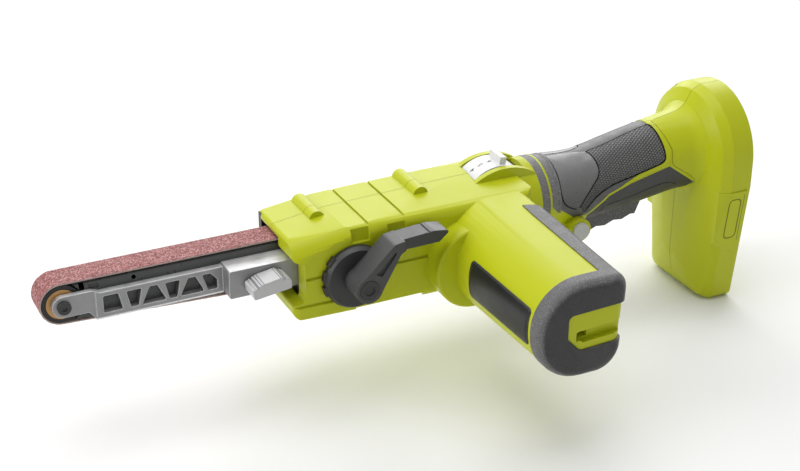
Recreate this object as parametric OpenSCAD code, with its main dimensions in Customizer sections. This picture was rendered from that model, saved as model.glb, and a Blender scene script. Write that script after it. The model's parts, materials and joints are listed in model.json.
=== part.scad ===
// Cordless power file: a narrow sanding belt runs round a slim arm, with the motor set crosswise.
// The layout is drawn from the nose roller's axle: +X runs back to the battery, +Y to the user's right.
// Every node is then moved so that the middle of the battery socket's mouth is the origin.

/* [Belt and rollers] */
// Width of the sanding belt
belt_w = 16; // [13:0.5:17]
// Thickness of the sanding belt
belt_t = 1; // [0.8:0.1:1.2]
// Length of the belt's loop
belt_length = 457; // [450:1:465]
// Radius of the nose roller
nose_r = 9.8; // [9.4:0.1:10]
// Radius of the drive roller
drive_r = 14; // [13.5:0.1:14.5]
// Gap between a roller and the belt
roller_gap = 0.3; // [0.2:0.05:0.4]

/* [Arm] */
// Half height of the tongue that carries the nose axle
tongue_r = 5.6; // [5:0.1:6]
// Thickness of the truss plate
plate_t = 3.8; // [3:0.1:4.5]
// Top of the truss above the nose axle
truss_top = 4.2; // [3.8:0.1:4.6]
// Bottom of the truss below the nose axle
truss_drop = 9.3; // [8.8:0.1:9.6]
// Where the truss starts behind the nose axle
truss_x = 16; // [14:0.5:17]
// Where the arm's block starts behind the nose axle
block_x = 80; // [76:1:82]
// Depth of the block towards the user's left
block_d = 9; // [8:0.25:9.5]
// Travel of the arm when the lever lets the belt go
arm_travel = 6; // [5:0.25:6]

/* [Front housing] */
// Distance from the nose axle to the housing's mouth
mouth_x = 110; // [108:0.5:112]
// Thickness of the left wall, which holds the spring
wall_l = 8.5; // [8:0.25:10]
// Room between the belt and the right wall's cover
cover_room = 6; // [5:0.25:7]
// Thickness of the belt cover
cover_t = 3.5; // [3:0.25:4]
// Height of the roof over the nose axle, at the mouth
roof_front = 15.6; // [15:0.1:17]
// Height of the roof over the nose axle, at the dial
roof_rear = 22.5; // [21.5:0.1:23.5]
// Depth of the housing's bottom under the nose axle, at the mouth
sole_front = 25.2; // [24:0.1:26]
// Depth of the housing's bottom under the nose axle, at the drive roller
sole_rear = 28; // [27.8:0.1:29]

/* [Tension lever] */
// Lever's shaft behind the mouth
lever_back = 33; // [32:0.5:34]
// Lever's shaft below the nose axle
lever_drop = 6; // [5.5:0.1:6.5]
// Radius of the lever's disc
disc_r = 17; // [15:0.25:18]
// Radius of the cam's eccentric disc
cam_r = 6; // [5.5:0.1:6]
// Offset of the cam's disc from its shaft
cam_offset = 4; // [3.5:0.1:4]

/* [Gears and motor] */
// Tooth size of the gears
gear_module = 1; // [0.95:0.01:1.02]
// Teeth of the gear on the drive shaft
gear_teeth = 38; // [37:1:39]
// Teeth of the pinion on the motor shaft
pinion_teeth = 25; // [24:1:26]
// Face width of the gears
gear_w = 6.5; // [5:0.25:7]
// Motor shaft below the nose axle
motor_drop = 10; // [9:0.25:10.5]
// Length of the motor's can
can_len = 56; // [50:0.5:57]
// Radius of the barrel at its root
barrel_r = 25.8; // [25.2:0.1:26.4]
// How much the barrel's radius narrows towards the bumper
barrel_draft = 2.1; // [1.6:0.1:2.6]
// Wall between the motor's can and the barrel's narrow end
barrel_wall = 5.9; // [5.7:0.1:7]
// Height of the barrel's flat top over the motor shaft, at its root
barrel_top = 29.6; // [28.5:0.1:30]
// Room behind the fan for the vent cover and the bumper's end
end_room = 18.5; // [17.5:0.25:21]
// Radius of the collar at the barrel's root
collar_r = 22.5; // [21.5:0.1:23]

/* [Speed dial] */
// Radius of the speed dial
dial_r = 21; // [20:0.25:21.5]
// Width of the speed dial
dial_w = 16; // [13:0.5:16.5]
// Dial's axle behind the motor shaft
dial_back = 17.9; // [17:0.1:19]

/* [Handle and foot] */
// Front end of the handle behind the motor shaft
neck_back = 41.6; // [41:0.1:43]
// Thickness of the rubber skin on the handle
skin = 1.6; // [1.2:0.1:2]
// Length from the handle's front end to the foot's rear face
handle_len = 122; // [120:0.5:124]
// Half width of the battery foot
foot_w = 36.5; // [35:0.25:38]
// Thickness of the foot's plate at its rim
foot_t = 15; // [14:0.25:16]
// Centre of the foot's round top over the nose axle
foot_arch_z = 11; // [10:0.25:12]
// Bottom of the foot below the nose axle
foot_drop = 77; // [75:0.2:79]
// Radius of the battery socket's round ends
socket_r = 14; // [13:0.1:14]
// Straight part of the battery socket's height
socket_flat = 9; // [8:0.25:10]
// Depth of the battery socket from the foot's rear face
socket_depth = 46; // [42:0.5:46]

/* [Controls] */
// Lock-off button's radius
button_r = 4.8; // [4.4:0.1:5]
// Lock-off button's axis behind the handle's front end
button_back = 21; // [20.5:0.1:21.5]
// Lock-off button's axis below the nose axle
button_drop = 15.6; // [15:0.1:16]
// How far the button stands out on each side
button_out = 1.8; // [1.5:0.1:2.2]
// Half width of the trigger
trigger_w = 6.5; // [5.5:0.1:6.8]

/* [Clearances] */
// Room round pieces that slide in the housing
slide_gap = 0.4; // [0.3:0.05:0.5]
// Room round pieces that turn close to a wall
turn_gap = 0.7; // [0.5:0.05:0.9]
// Radial clearance of a running shaft
run_gap = 0.06; // [0.04:0.01:0.09]
// Gap between two pieces that are screwed or clipped together
seat_gap = 0.15; // [0.1:0.01:0.2]

/* [Hidden] */
$fn = 64;
eps = 0.01;
far = 400;
arc_steps = 6;
path_steps = 28;

lime = [0.72, 0.80, 0.09];
dark = [0.23, 0.23, 0.24];
black = [0.10, 0.10, 0.11];
grey = [0.55, 0.56, 0.57];
pale = [0.80, 0.81, 0.82];
steel = [0.68, 0.69, 0.71];
tan_hub = [0.66, 0.50, 0.30];
grit = [0.45, 0.20, 0.19];
copper = [0.72, 0.42, 0.22];
board_green = [0.12, 0.35, 0.18];

// Belt path: the drive roller sits lower, so that the upper run is level
nose_in = nose_r + roller_gap;
drive_in = drive_r + roller_gap;
drive_z = nose_in - drive_in;
drive_x = (belt_length - PI * (nose_in + drive_in + belt_t)) / 2;
run_tilt = 2 * atan(-drive_z / drive_x);
chamber_gap = 1.5;
chamber_off = belt_t + chamber_gap;

// Widths, from the belt's middle plane outwards
half_belt = belt_w / 2;
belt_side_gap = 0.7;
plate_in = -(half_belt + belt_side_gap);
plate_out = plate_in - plate_t;
block_out = plate_out - block_d;
bay_l = block_out - slide_gap;
side_l = bay_l - wall_l - 0.6;
cover_in = half_belt + cover_room;
side_r = cover_in + cover_t;

// Lever and cam
lever_x = mouth_x + lever_back;
lever_z = -lever_drop;
shaft_r = 4.5;
disc_in = side_l - 0.4;
disc_t = 4.6;
lever_in = disc_in - disc_t;
lever_w = 14;
lever_out = lever_in - lever_w;
cap_r = 5.2;
cap_t = 2.4;
cam_y0 = block_out + 0.6;
cam_y1 = plate_out - 0.5;
shaft_end = cam_y0 + 1;

// Arm carriage inside the housing
block_top = 5.2;
block_bot = -9.9;
car_x0 = mouth_x + 9;
car_x1 = lever_x + 10;
car_top = 7.4;
car_bot = -19.4;
window_front = lever_x - cam_r - cam_offset - 1.8;
window_back = lever_x + cam_r - cam_offset + 0.4;
window_half = cam_r + cam_offset + 0.4;
bay_x1 = car_x1 + arm_travel + 1;
bay_top = car_top + slide_gap;
bay_bot = car_bot - slide_gap;

// Tension spring, beside the carriage
lug_x = car_x0 + 1.5;
lug_t = 3.5;
spring_r = 2.6;
spring_wire = 0.45;
spring_y = block_out - 3.4;
spring_z = 3.9;
spring_x0 = lug_x + lug_t;
spring_x1 = spring_x0 + 26;
spring_turns = 8;

// Gears and motor
gear_r = gear_module * gear_teeth / 2;
pinion_r = gear_module * pinion_teeth / 2;
gear_centres = gear_r + pinion_r;
motor_z = -motor_drop;
motor_x = drive_x + sqrt(pow(gear_centres, 2) - pow(motor_z - drive_z, 2));
gear_tilt = atan2(motor_z - drive_z, motor_x - drive_x);
pressure = 25;
addendum = 0.9;
dedendum = 1.15;
tooth_thin = 0.16;
wall_t = 3.2;
gearplate_y1 = plate_in - 0.9;
gearplate_y0 = gearplate_y1 - wall_t;
gear_y1 = gearplate_y0 - turn_gap;
gear_y0 = gear_y1 - gear_w;
gear_bay_y = gear_y0 - turn_gap;
gear_bay_r = gear_r + addendum * gear_module + turn_gap;
pinion_bay_r = pinion_r + addendum * gear_module + turn_gap;
drive_shaft_r = 4;
bearing_r = 8;
bearing_t = 5;
bearing_y1 = gear_bay_y - 0.2;
bearing_y0 = bearing_y1 - bearing_t;

// Motor, laid along -Y from the wall behind the gears
motor_shaft_r = 1.6;
barrel_end_r = barrel_r - barrel_draft;
can_r = barrel_end_r - barrel_wall;
motor_front = side_l - 4.5;
can_wall = 1.8;
can_back = motor_front - can_len;
brush_t = 7;
brush_back = can_back - brush_t;
fan_t = 8;
fan_front = brush_back - 2;
fan_back = fan_front - fan_t;
barrel_reach = -fan_back + end_room;
bumper_len = 10;
bumper_front = -barrel_reach + bumper_len;
barrel_back = bumper_front - 2.5;
bumper_lip = 1.5;
bumper_proud = 0.6;
bumper_round = 5;
barrel_root = side_l + 6;
fan_bay_r = can_r + 1.2;
rotor_bearing_r = 4.5;
rotor_bearing_t = 3.5;

// Dial
dial_x = motor_x + dial_back;
dial_z = roof_rear + 3.5 - dial_r;
dial_axle_r = 2.5;
dial_half = dial_w / 2;
rib_out = 4;
rib_half = dial_half - 2;
rib_t = 1.8;
rib_lean = 10;
dial_turn = 22;
rib_end = rib_lean + dial_turn;
arch_in = dial_half + 0.9;
arch_t = 3.4;
arch_r = 31.8;
arch_z = roof_rear + 3.6 - arch_r;

// Handle and foot
neck_x = motor_x + neck_back;
// The handle's outlines are drawn for a handle 122 long, and stretch with the real one
handle_k = handle_len / 122;
band_w = 10.5;
band_front = -3;
band_back = band_front + band_w;
seat_x = neck_x + handle_len;
foot_x = seat_x - foot_t;
seat_z = 10;
socket_half = socket_flat / 2;
socket_x = seat_x - socket_depth;
foot_wall = 4.5;
foot_taper = 9;
foot_pocket = 11;
button_x = neck_x + button_back * handle_k;
button_z = -button_drop;
boss_r = button_r + 1.9;
boss_half = 21.5;
function stretch(list) = [for (p = list) [p[0] * handle_k, each [for (i = [1:len(p) - 1]) p[i]]]];
// Handle sections from front to back: place behind the neck, centre height, half height, half width
sections = stretch([
    [-30, -2.5, 24.5, 26],
    [-14, 0.2, 23, 23],
    [0, 1.6, 21.8, 21.3],
    [12, 1.5, 21.2, 20.3],
    [30, 1.2, 21, 18.4],
    [52, 4.6, 22, 18.5],
    [76, 8.6, 22.4, 19.4],
    [90, 10.8, 22.5, 20.4],
    [95.5, 11.4, 23.4, 21.5],
    [99, 11.6, 25.6, 24],
    [101.5, 11.6, 28.2, 26.8],
    [104, 11.6, 31, 29.8]
]);
last_section = len(sections) - 1;
ring_sides = 28;
rings_per_section = 2;

// Grip panels, as side outlines behind the neck: the stripe parts the upper panel from the lower one
grip_front = band_back + 1.2;
stripe_gap = 1.3;
stripe = stretch([[78, 12], [53.5, 6], [40.5, 1], [28, -9.5]]);
upper_rear = stretch([[72, 40], [76.5, 30], [80, 20]]);
upper_front = [[20 * handle_k, -9.6], [grip_front, -1], [grip_front, 40]];
lower_rear = stretch([[97, -3], [94, -9], [86, -30]]);
lower_front = stretch([[29, -40], [29, -10.8]]);

// Trigger, hung from a pin at its rear
pin_x = neck_x + 68 * handle_k;
pin_z = -8.5;
pin_r = 1.5;
pin_half = 9.5;
trigger_boss = 3.6;
trigger_slot = trigger_w + slide_gap;
slot_x0 = neck_x + 30 * handle_k;
slot_x1 = pin_x + 5;
slot_top = pin_z + trigger_boss + slide_gap;

// Trigger switch, ahead of the battery contacts with room for a screw between them
contact_t = 6;
switch_room = 9;
switch_x1 = socket_x - contact_t - switch_room;
switch_x0 = switch_x1 - 26 * handle_k;

// Screws that hold the two halves: places in the side view, all at one depth
screw_r = 1.5;
screw_head_r = 2.8;
screw_head_y = 6;
screw_head_t = 2.5;
screw_tip = -12;
screw_places = [
    [lever_x + 21, roof_front + 0.7],
    [motor_x + 19.5, motor_z - 11],
    [switch_x0 - 10, 11],
    [switch_x1 + 4, 16],
    [foot_x - 0.5, foot_arch_z + 27],
    [foot_x - 0.5, foot_arch_z - 51]
];

// Moves the layout so that the battery socket's mouth is the origin
module place() {
    translate([-seat_x, 0, -seat_z]) children();
}

// Side outline (X, Z) drawn out from y0 to y1
module along_y(y0, y1) {
    translate([0, y1, 0]) rotate([90, 0, 0]) linear_extrude(y1 - y0) children();
}

// End outline (Y, Z) drawn out from x0 to x1
module along_x(x0, x1) {
    translate([x0, 0, 0]) rotate([90, 0, 90]) linear_extrude(x1 - x0) children();
}

module box(x0, x1, y0, y1, z0, z1) {
    translate([x0, y0, z0]) cube([x1 - x0, y1 - y0, z1 - z0]);
}

// Round bar along Y
module bar(r, y0, y1, x = 0, z = 0) {
    translate([x, y1, z]) rotate([90, 0, 0]) cylinder(r = r, h = y1 - y0);
}

module ring(r, bore, y0, y1, x = 0, z = 0) {
    difference() {
        bar(r, y0, y1, x, z);
        bar(bore, y0 - 1, y1 + 1, x, z);
    }
}

// Round form along -Y at (x, z), from a profile of radius and distance from the middle plane
module turned(x, z) {
    translate([x, 0, z]) rotate([90, 0, 0]) rotate_extrude() children();
}

// Rounded corners: each point is [x, y, radius]
function unit(v) = v / norm(v);
function arc_point(c, r, a) = c + r * [cos(a), sin(a)];
function turn_of(a0, a1) = (a1 - a0 + 540) % 360 - 180;
function corner(a, p, b, r) =
    let (u = unit(a - p), v = unit(b - p), half = acos(u * v) / 2)
    let (c = p + unit(u + v) * r / sin(half))
    let (s = p + u * r / tan(half) - c, e = p + v * r / tan(half) - c)
    let (a0 = atan2(s[1], s[0]), da = turn_of(a0, atan2(e[1], e[0])))
    let (n = r > 10 ? 2 * arc_steps : arc_steps)
    [for (i = [0:n]) arc_point(c, r, a0 + da * i / n)];
function flat2(p) = [p[0], p[1]];
function rounded(pts) = let (n = len(pts)) [
    for (i = [0:n - 1]) each
        pts[i][2] == 0
            ? [flat2(pts[i])]
            : corner(flat2(pts[(i + n - 1) % n]), flat2(pts[i]), flat2(pts[(i + 1) % n]), pts[i][2])
];

// Belt path moved outwards by a distance: two round ends and the straight runs between them
function round_end(c, r, a0, a1) = [for (i = [0:path_steps]) arc_point(c, r, a0 + (a1 - a0) * i / path_steps)];
module belt_path(out) {
    low = 270 - run_tilt;
    polygon(concat(
        round_end([0, 0], nose_in + out, 90, low),
        round_end([drive_x, drive_z], drive_in + out, low, 450)
    ));
}

// Gear outline with involute teeth, one tooth pointing along +X
function involute(a) = (tan(a) - a * PI / 180) * 180 / PI;
function tooth_half(z, r, rb, q) =
    90 / z - tooth_thin / (2 * r) * 180 / PI + involute(pressure) - involute(acos(min(1, rb / q)));
module gear_outline(z) {
    r = gear_module * z / 2;
    rb = r * cos(pressure);
    rf = r - dedendum * gear_module;
    q0 = max(rb, rf);
    q1 = r + addendum * gear_module;
    flank = [for (i = [0:4]) q0 + (q1 - q0) * i / 4];
    polygon([
        for (t = [0:z - 1]) each concat(
            [arc_point([0, 0], rf, t * 360 / z - tooth_half(z, r, rb, q0))],
            [for (i = [0:4]) arc_point([0, 0], flank[i], t * 360 / z - tooth_half(z, r, rb, flank[i]))],
            [for (i = [4:-1:0]) arc_point([0, 0], flank[i], t * 360 / z + tooth_half(z, r, rb, flank[i]))],
            [arc_point([0, 0], rf, t * 360 / z + tooth_half(z, r, rb, q0))]
        )
    ]);
}

// Handle form: oval sections blended by a smooth curve through the listed ones
function section(i) = sections[max(0, min(len(sections) - 1, i))];
function blend(a, b, c, d, t) =
    0.5 * (2 * b + (c - a) * t + (2 * a - 5 * b + 4 * c - d) * t * t + (3 * b - a - 3 * c + d) * t * t * t);
function section_at(s) =
    let (i = min(len(sections) - 2, floor(s)))
    blend(section(i - 1), section(i), section(i + 1), section(i + 2), s - i);
function section_ring(s, inset) = let (q = section_at(s)) [
    for (j = [0:ring_sides - 1])
        let (a = 360 * j / ring_sides)
        [neck_x + q[0], (q[3] - inset) * cos(a), q[1] + (q[2] - inset) * sin(a)]
];
module handle_form(inset, first, last) {
    n = ring_sides;
    steps = (last - first) * rings_per_section;
    points = [for (k = [0:steps]) each section_ring(first + (last - first) * k / steps, inset)];
    sides = [for (k = [0:steps - 1], j = [0:n - 1]) each
        let (a = k * n + j, b = a + n, c = (k + 1) * n + (j + 1) % n, d = k * n + (j + 1) % n)
        [[a, b, c], [a, c, d]]];
    front = [[for (j = [0:n - 1]) j]];
    back = [[for (j = [n - 1:-1:0]) steps * n + j]];
    polyhedron(points, concat(sides, front, back));
}

module upper_panel() {
    translate([neck_x, 0]) polygon(concat(upper_rear, stripe, upper_front));
}

module lower_panel() {
    below = [for (p = stripe) p + [0.5, -stripe_gap]];
    translate([neck_x, 0]) polygon(concat(lower_rear, lower_front, [for (i = [3:-1:0]) below[i]]));
}

// Room left in the handle's surface for the rubber skins
module skin_room() {
    along_y(-far, far) upper_panel();
    along_y(-far, far) lower_panel();
    box(neck_x + band_front, neck_x + band_back, -far, far, -far, far);
}

module handle_body() {
    handle_form(skin, 0, last_section);
    difference() {
        handle_form(0, 0, last_section);
        skin_room();
    }
}

// Foot outline seen from behind (Y, Z), moved inwards by a distance
module foot_outline(inset) {
    w = foot_w - inset;
    top = foot_arch_z;
    low = -foot_drop + inset;
    translate([0, top]) circle(w);
    polygon(rounded([
        [-w, top, 0], [w, top, 0],
        [w, top - 14, 12], [w - foot_taper, low, 5],
        [foot_taper - w, low, 5], [-w, top - 14, 12]
    ]));
}

module foot_plate() {
    hull() {
        along_x(foot_x - 9.5, foot_x - 9) foot_outline(21);
        along_x(foot_x - 7, foot_x - 6.5) foot_outline(9);
        along_x(foot_x - 3.5, foot_x - 3) foot_outline(2.6);
        along_x(foot_x + 2, foot_x + 2.5) foot_outline(0);
    }
    along_x(foot_x + 2.4, seat_x) foot_outline(0);
}

module both_sides() {
    children();
    mirror([0, 1, 0]) children();
}

// Flat raised pad on each flank of the foot, across its rounded front edge
pad_proud = 0.8;
pad_top = -5;
pad_low = -37;
module foot_pads() {
    intersection() {
        along_x(foot_x - 5, foot_x + 13) foot_outline(-pad_proud);
        both_sides() translate([0, 0, -far / 2]) linear_extrude(far) polygon([
            [foot_x - 4.2, -foot_w + 11],
            [foot_x - 4.2, -foot_w + 3],
            [foot_x + 3, -foot_w - pad_proud],
            [foot_x + 13, -foot_w - pad_proud],
            [foot_x + 13, -foot_w + 11]
        ]);
        along_y(-far, far) polygon([
            [foot_x - 5, pad_top], [foot_x + 13, pad_top], [foot_x + 13, pad_low - 9], [foot_x - 5, pad_low]
        ]);
    }
}

module socket_outline(grow = 0) {
    for (s = [-1, 1])
        translate([0, seat_z + s * socket_half]) circle(socket_r + grow);
    translate([-socket_r - grow, seat_z - socket_half]) square([2 * (socket_r + grow), socket_flat]);
}

// Front box: side outline, plan outline and end outline, cut with each other
function box_side() = rounded([
    [mouth_x + 1, 7.5, 1.2],
    [mouth_x + 1, roof_front, 2.5],
    [mouth_x + 30, roof_front + 3.7, 8],
    [dial_x + 12, roof_rear, 8],
    [dial_x + 12, -sole_rear + 1.2, 8],
    [drive_x, -sole_rear, 6],
    [mouth_x, -sole_front, 5],
    [mouth_x, -17.2, 1.5],
    [mouth_x + 6.5, -15.6, 2],
    [mouth_x + 6.5, 5, 2]
]);
function box_plan() = rounded([
    [mouth_x - 1, side_l, 5],
    [dial_x + 12, side_l, 12],
    [dial_x + 12, side_r, 12],
    [mouth_x - 1, side_r, 5]
]);
function box_end() = rounded([
    [side_l, -sole_rear - 1, 5],
    [side_r, -sole_rear - 1, 5],
    [side_r, roof_rear + 0.2, 5],
    [side_l, roof_rear - 3, 6]
]);

module front_box() {
    intersection() {
        along_y(side_l, side_r) polygon(box_side());
        translate([0, 0, -far / 2]) linear_extrude(far) polygon(box_plan());
        along_x(mouth_x - 2, dial_x + 20) polygon(box_end());
    }
}

// Half-round ribs across the roof
module roof_ribs() {
    rib_r = 4.2;
    for (p = [[mouth_x + 23, -8, 18.2], [drive_x + 2, -10, 21]])
        bar(rib_r, p[1], side_r - 1.5, p[0], p[2] - 1);
}

// Round that grows along the roof's left edge towards the mouth
brow_r = 14;
brow_len = 44;
brow_rise = 4.1;
module brow() {
    fade = 0.293 * brow_r;
    rise = brow_rise + fade;
    translate([mouth_x, side_l, roof_front]) rotate([0, -atan(rise / brow_len), -atan(fade / brow_len)])
        along_x(-6, brow_len + 4) difference() {
            translate([-4, -brow_r]) square(brow_r + 4);
            translate([brow_r, -brow_r]) circle(brow_r);
        }
}

// Cuts in the roof and the left side: two lines across the roof, two notches in its left edge, and the
// lips of the side's bands, which the lever's disc interrupts
module surface_cuts() {
    for (x = [mouth_x + 42, mouth_x + 62])
        box(x - 0.7, x + 0.7, side_l - 1, side_r + 1, roof_front + 3.1 + (x - mouth_x - 42) * 0.025, far);
    box(mouth_x + 32, mouth_x + 42, side_l - 1, side_l + 2.2, 11.5, far);
    box(mouth_x + 52, mouth_x + 62, side_l - 1, side_l + 1.4, 13, far);
    brow();
    for (g = [[mouth_x + 7, lever_x - 8, -3.2], [lever_x + 14, drive_x - 4, -4.6], [mouth_x + 1, lever_x - 4, -18]])
        along_x(g[0], g[1]) polygon([
            [side_l - 1, g[2] + 1], [side_l + 1.2, g[2] + 0.8], [side_l + 1.2, g[2] - 0.4], [side_l - 1, g[2] - 1.6]
        ]);
    box(mouth_x + 34, drive_x - 6, side_l - 1, side_l + 9, -far, -sole_front - 0.2);
}

module dial_arches() {
    for (s = [-1, 1])
        intersection() {
            bar(arch_r, min(s * arch_in, s * (arch_in + arch_t)), max(s * arch_in, s * (arch_in + arch_t)),
                dial_x + 2, arch_z);
            box(dial_x - 40, neck_x + band_front, -far, far, roof_rear - 8, far);
        }
}

module button_boss() {
    bar(boss_r, -boss_half, boss_half, button_x, button_z);
}

// Barrel section about the motor's axis, from its root (0) to the bumper (1): round at the left and
// underneath, flat on top and squared at the rear corner
function barrel_section(k, inset) =
    let (r = barrel_r + (barrel_end_r - barrel_r) * k - inset)
    let (top = barrel_top - 3.1 * k - inset, rear = barrel_r - 1.2 - 0.6 * k - inset)
    rounded([[-r, -r, r], [rear - 3, -r, 13], [rear, top, 7], [-r, top, r]]);

module barrel_form(inset) {
    translate([motor_x, 0, motor_z]) hull() {
        along_y(barrel_root - 0.1, barrel_root) polygon(barrel_section(0, inset));
        along_y(bumper_front, bumper_front + 0.1) polygon(barrel_section(1, inset));
    }
}

// Collar at the barrel's root, with a flat end
collar_x = motor_x - 13.4;
collar_end = side_l - 13;
module collar() {
    translate([collar_x, 0, motor_z - 0.5]) rotate([90, 0, 0]) {
        translate([0, 0, -barrel_root]) cylinder(r = collar_r, h = barrel_root - collar_end - 0.8);
        translate([0, 0, -collar_end - 0.8]) cylinder(r1 = collar_r, r2 = collar_r - 0.8, h = 0.8);
    }
}

module barrel() {
    barrel_form(0);
    collar();
    translate([motor_x, 0, motor_z])
        along_y(barrel_back, bumper_front + 1) polygon(barrel_section(1, bumper_lip));
}

module outer_form() {
    front_box();
    roof_ribs();
    dial_arches();
    button_boss();
    handle_body();
    foot_plate();
    foot_pads();
}

// Room for the pieces that cross the parting plane
module shared_rooms() {
    along_y(gearplate_y1, cover_in + far) belt_path(chamber_off);
    bar(dial_r + turn_gap, -dial_half - 0.5, dial_half + 0.5, dial_x, dial_z);
    bar(dial_axle_r, -dial_half - 3, dial_half + 3, dial_x, dial_z);
    box(dial_x, dial_x + (dial_r + rib_out) * sin(rib_end) + rib_t + turn_gap, -rib_half - 0.5, rib_half + 0.5,
        dial_z + (dial_r - 1) * cos(rib_end) - rib_t - turn_gap, far);
    bar(button_r + run_gap, -far, far, button_x, button_z);
    along_x(socket_x, seat_x + 1) socket_outline();
    along_x(seat_x - foot_pocket, seat_x + 1) foot_outline(foot_wall);
    box(slot_x0, slot_x1, -trigger_slot, trigger_slot, -far, slot_top);
    bar(pin_r, -pin_half, pin_half, pin_x, pin_z);
    grow_box(switch_box(), seat_gap);
    switch_peg(seat_gap);
    grow_box(board_box(), seat_gap);
    grow_box(contact_box(), seat_gap);
}

// Switch, speed board and contacts as boxes, in line ahead of the battery socket
function switch_box() = [[switch_x0, switch_x1], [-7.5, 7.5], [-3.6, 12]];
function board_box() = [[neck_x + handle_k, neck_x + 19 * handle_k], [-9, 9], [3, 9]];
function contact_box() = [[socket_x - contact_t, socket_x], [-12, 12], [seat_z - 7, seat_z + 7]];
switch_peg_r = 1.2;
module switch_peg(grow) {
    bar(switch_peg_r + grow, -9.5 - grow, -7.4, switch_x0 + 5, 8);
}
module grow_box(b, g) {
    box(b[0][0] - g, b[0][1] + g, b[1][0] - g, b[1][1] + g, b[2][0] - g, b[2][1] + g);
}

// Gear plate outline, seen from the side
module gear_plate_outline(grow) {
    left = drive_x - gear_bay_r - 1.2 - grow;
    right = motor_x + pinion_bay_r + 1.8 + grow;
    low = drive_z - gear_bay_r - 0.9 - grow;
    top = drive_z + gear_bay_r + 0.5 + grow;
    polygon(rounded([
        [left, low, 4], [drive_x + 8, low, 8], [right, motor_z - pinion_bay_r + 0.6 - grow, 4],
        [right, motor_z + 8, 3], [motor_x + 8, top, 4], [left, top, 4]
    ]));
}
plate_screw_r = 1.4;
plate_screw_places = [
    [drive_x - gear_bay_r + 3.2, drive_z + gear_bay_r - 3],
    [drive_x - gear_bay_r + 3.2, drive_z - gear_bay_r + 3],
    [motor_x + 3, drive_z + gear_bay_r - 3],
    [motor_x + pinion_bay_r - 1.5, motor_z - 10.5]
];

module left_rooms() {
    box(mouth_x - 10, mouth_x + 12, block_out - slide_gap, 0, -15.8, block_top + 1.2);
    box(mouth_x + 6, bay_x1, bay_l, plate_in + slide_gap, bay_bot, bay_top);
    box(lug_x - 1, spring_x1, spring_y - spring_r - 0.9, bay_l + 1, spring_z - 3.4, bay_top);
    bar(shaft_r + run_gap, side_l - 1, bay_l + 1, lever_x, lever_z);
    along_y(gearplate_y0, 1) gear_plate_outline(seat_gap);
    bar(gear_bay_r, gear_bay_y, gearplate_y0 + eps, drive_x, drive_z);
    bar(pinion_bay_r, gear_bay_y, gearplate_y0 + eps, motor_x, motor_z);
    bar(bearing_r, bearing_y0 - 0.2, gear_bay_y + eps, drive_x, drive_z);
    bar(motor_shaft_r + 1.2, motor_front - 1, gear_bay_y + 1, motor_x, motor_z);
    bar(can_r + 0.2, brush_back - 0.2, motor_front, motor_x, motor_z);
    bar(fan_bay_r, barrel_back - 1, brush_back, motor_x, motor_z);
    for (p = screw_places)
        bar(screw_r, screw_tip, 1, p[0], p[1]);
    for (p = plate_screw_places)
        bar(plate_screw_r, gearplate_y0 - 8, gearplate_y0 + 1, p[0], p[1]);
}

module right_rooms() {
    along_y(cover_in, far) cover_outline(0, mouth_x - 5);
    for (p = cover_screw_places)
        bar(screw_r, cover_in - 9, cover_in + 1, p[0], p[1]);
    for (p = screw_places) {
        bar(screw_r + 0.1, -1, screw_head_y + 1, p[0], p[1]);
        bar(screw_head_r + 0.3, screw_head_y, far, p[0], p[1]);
    }
}

module left_housing() {
    color(lime) place() difference() {
        union() {
            intersection() {
                outer_form();
                box(-far, 2 * far, -far, 0, -far, far);
            }
            barrel();
        }
        surface_cuts();
        shared_rooms();
        left_rooms();
    }
}

module right_housing() {
    color(lime) place() difference() {
        intersection() {
            outer_form();
            box(-far, 2 * far, 0, far, -far, far);
        }
        surface_cuts();
        shared_rooms();
        right_rooms();
    }
}

// Belt cover: closes the right side, with an ear for each of its screws
cover_ear_r = 3.9;
cover_screw_places = [
    [mouth_x + 40, nose_in + chamber_off + 2.2],
    [drive_x - 18, drive_z - drive_in - chamber_off - 2]
];
module cover_outline(inset, front) {
    difference() {
        union() {
            belt_path(chamber_off + 2.5 - inset);
            for (p = cover_screw_places)
                translate(p) circle(cover_ear_r - inset);
        }
        translate([-far, -far]) square([far + front, 2 * far]);
    }
}

module belt_cover() {
    color(black) place() difference() {
        along_y(cover_in, side_r + 0.4) cover_outline(seat_gap, mouth_x + 1.2);
        for (p = cover_screw_places) {
            bar(screw_r + 0.1, cover_in - 1, side_r + 1, p[0], p[1]);
            bar(screw_head_r + 0.1, side_r - 1.5, side_r + 1, p[0], p[1]);
        }
    }
}

module pan_screw(r, head_r, tip, head, head_t) {
    difference() {
        union() {
            bar(r, tip, head + eps);
            bar(head_r, head, head + head_t);
        }
        box(-head_r * 0.7, head_r * 0.7, head + head_t * 0.5, head + far, -0.4, 0.4);
        box(-0.4, 0.4, head + head_t * 0.5, head + far, -head_r * 0.7, head_r * 0.7);
    }
}

module cover_screws() {
    color(steel) place()
        for (p = cover_screw_places)
            translate([p[0], 0, p[1]]) pan_screw(screw_r, screw_head_r, cover_in - 8.5, side_r - 1.5, 1.7);
}

module housing_screws() {
    color(steel) place()
        for (p = screw_places)
            translate([p[0], 0, p[1]])
                pan_screw(screw_r, screw_head_r, screw_tip + 0.5, screw_head_y, screw_head_t);
}

module sanding_belt() {
    color(grit) place() along_y(-half_belt, half_belt) difference() {
        belt_path(belt_t);
        belt_path(0);
    }
}

module gear_plate() {
    color(steel) place() difference() {
        along_y(gearplate_y0, gearplate_y1) gear_plate_outline(0);
        bar(bearing_r, -far, far, drive_x, drive_z);
        bar(motor_shaft_r + 2, -far, far, motor_x, motor_z);
        for (p = plate_screw_places)
            bar(plate_screw_r + 0.1, -far, far, p[0], p[1]);
    }
}

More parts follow.
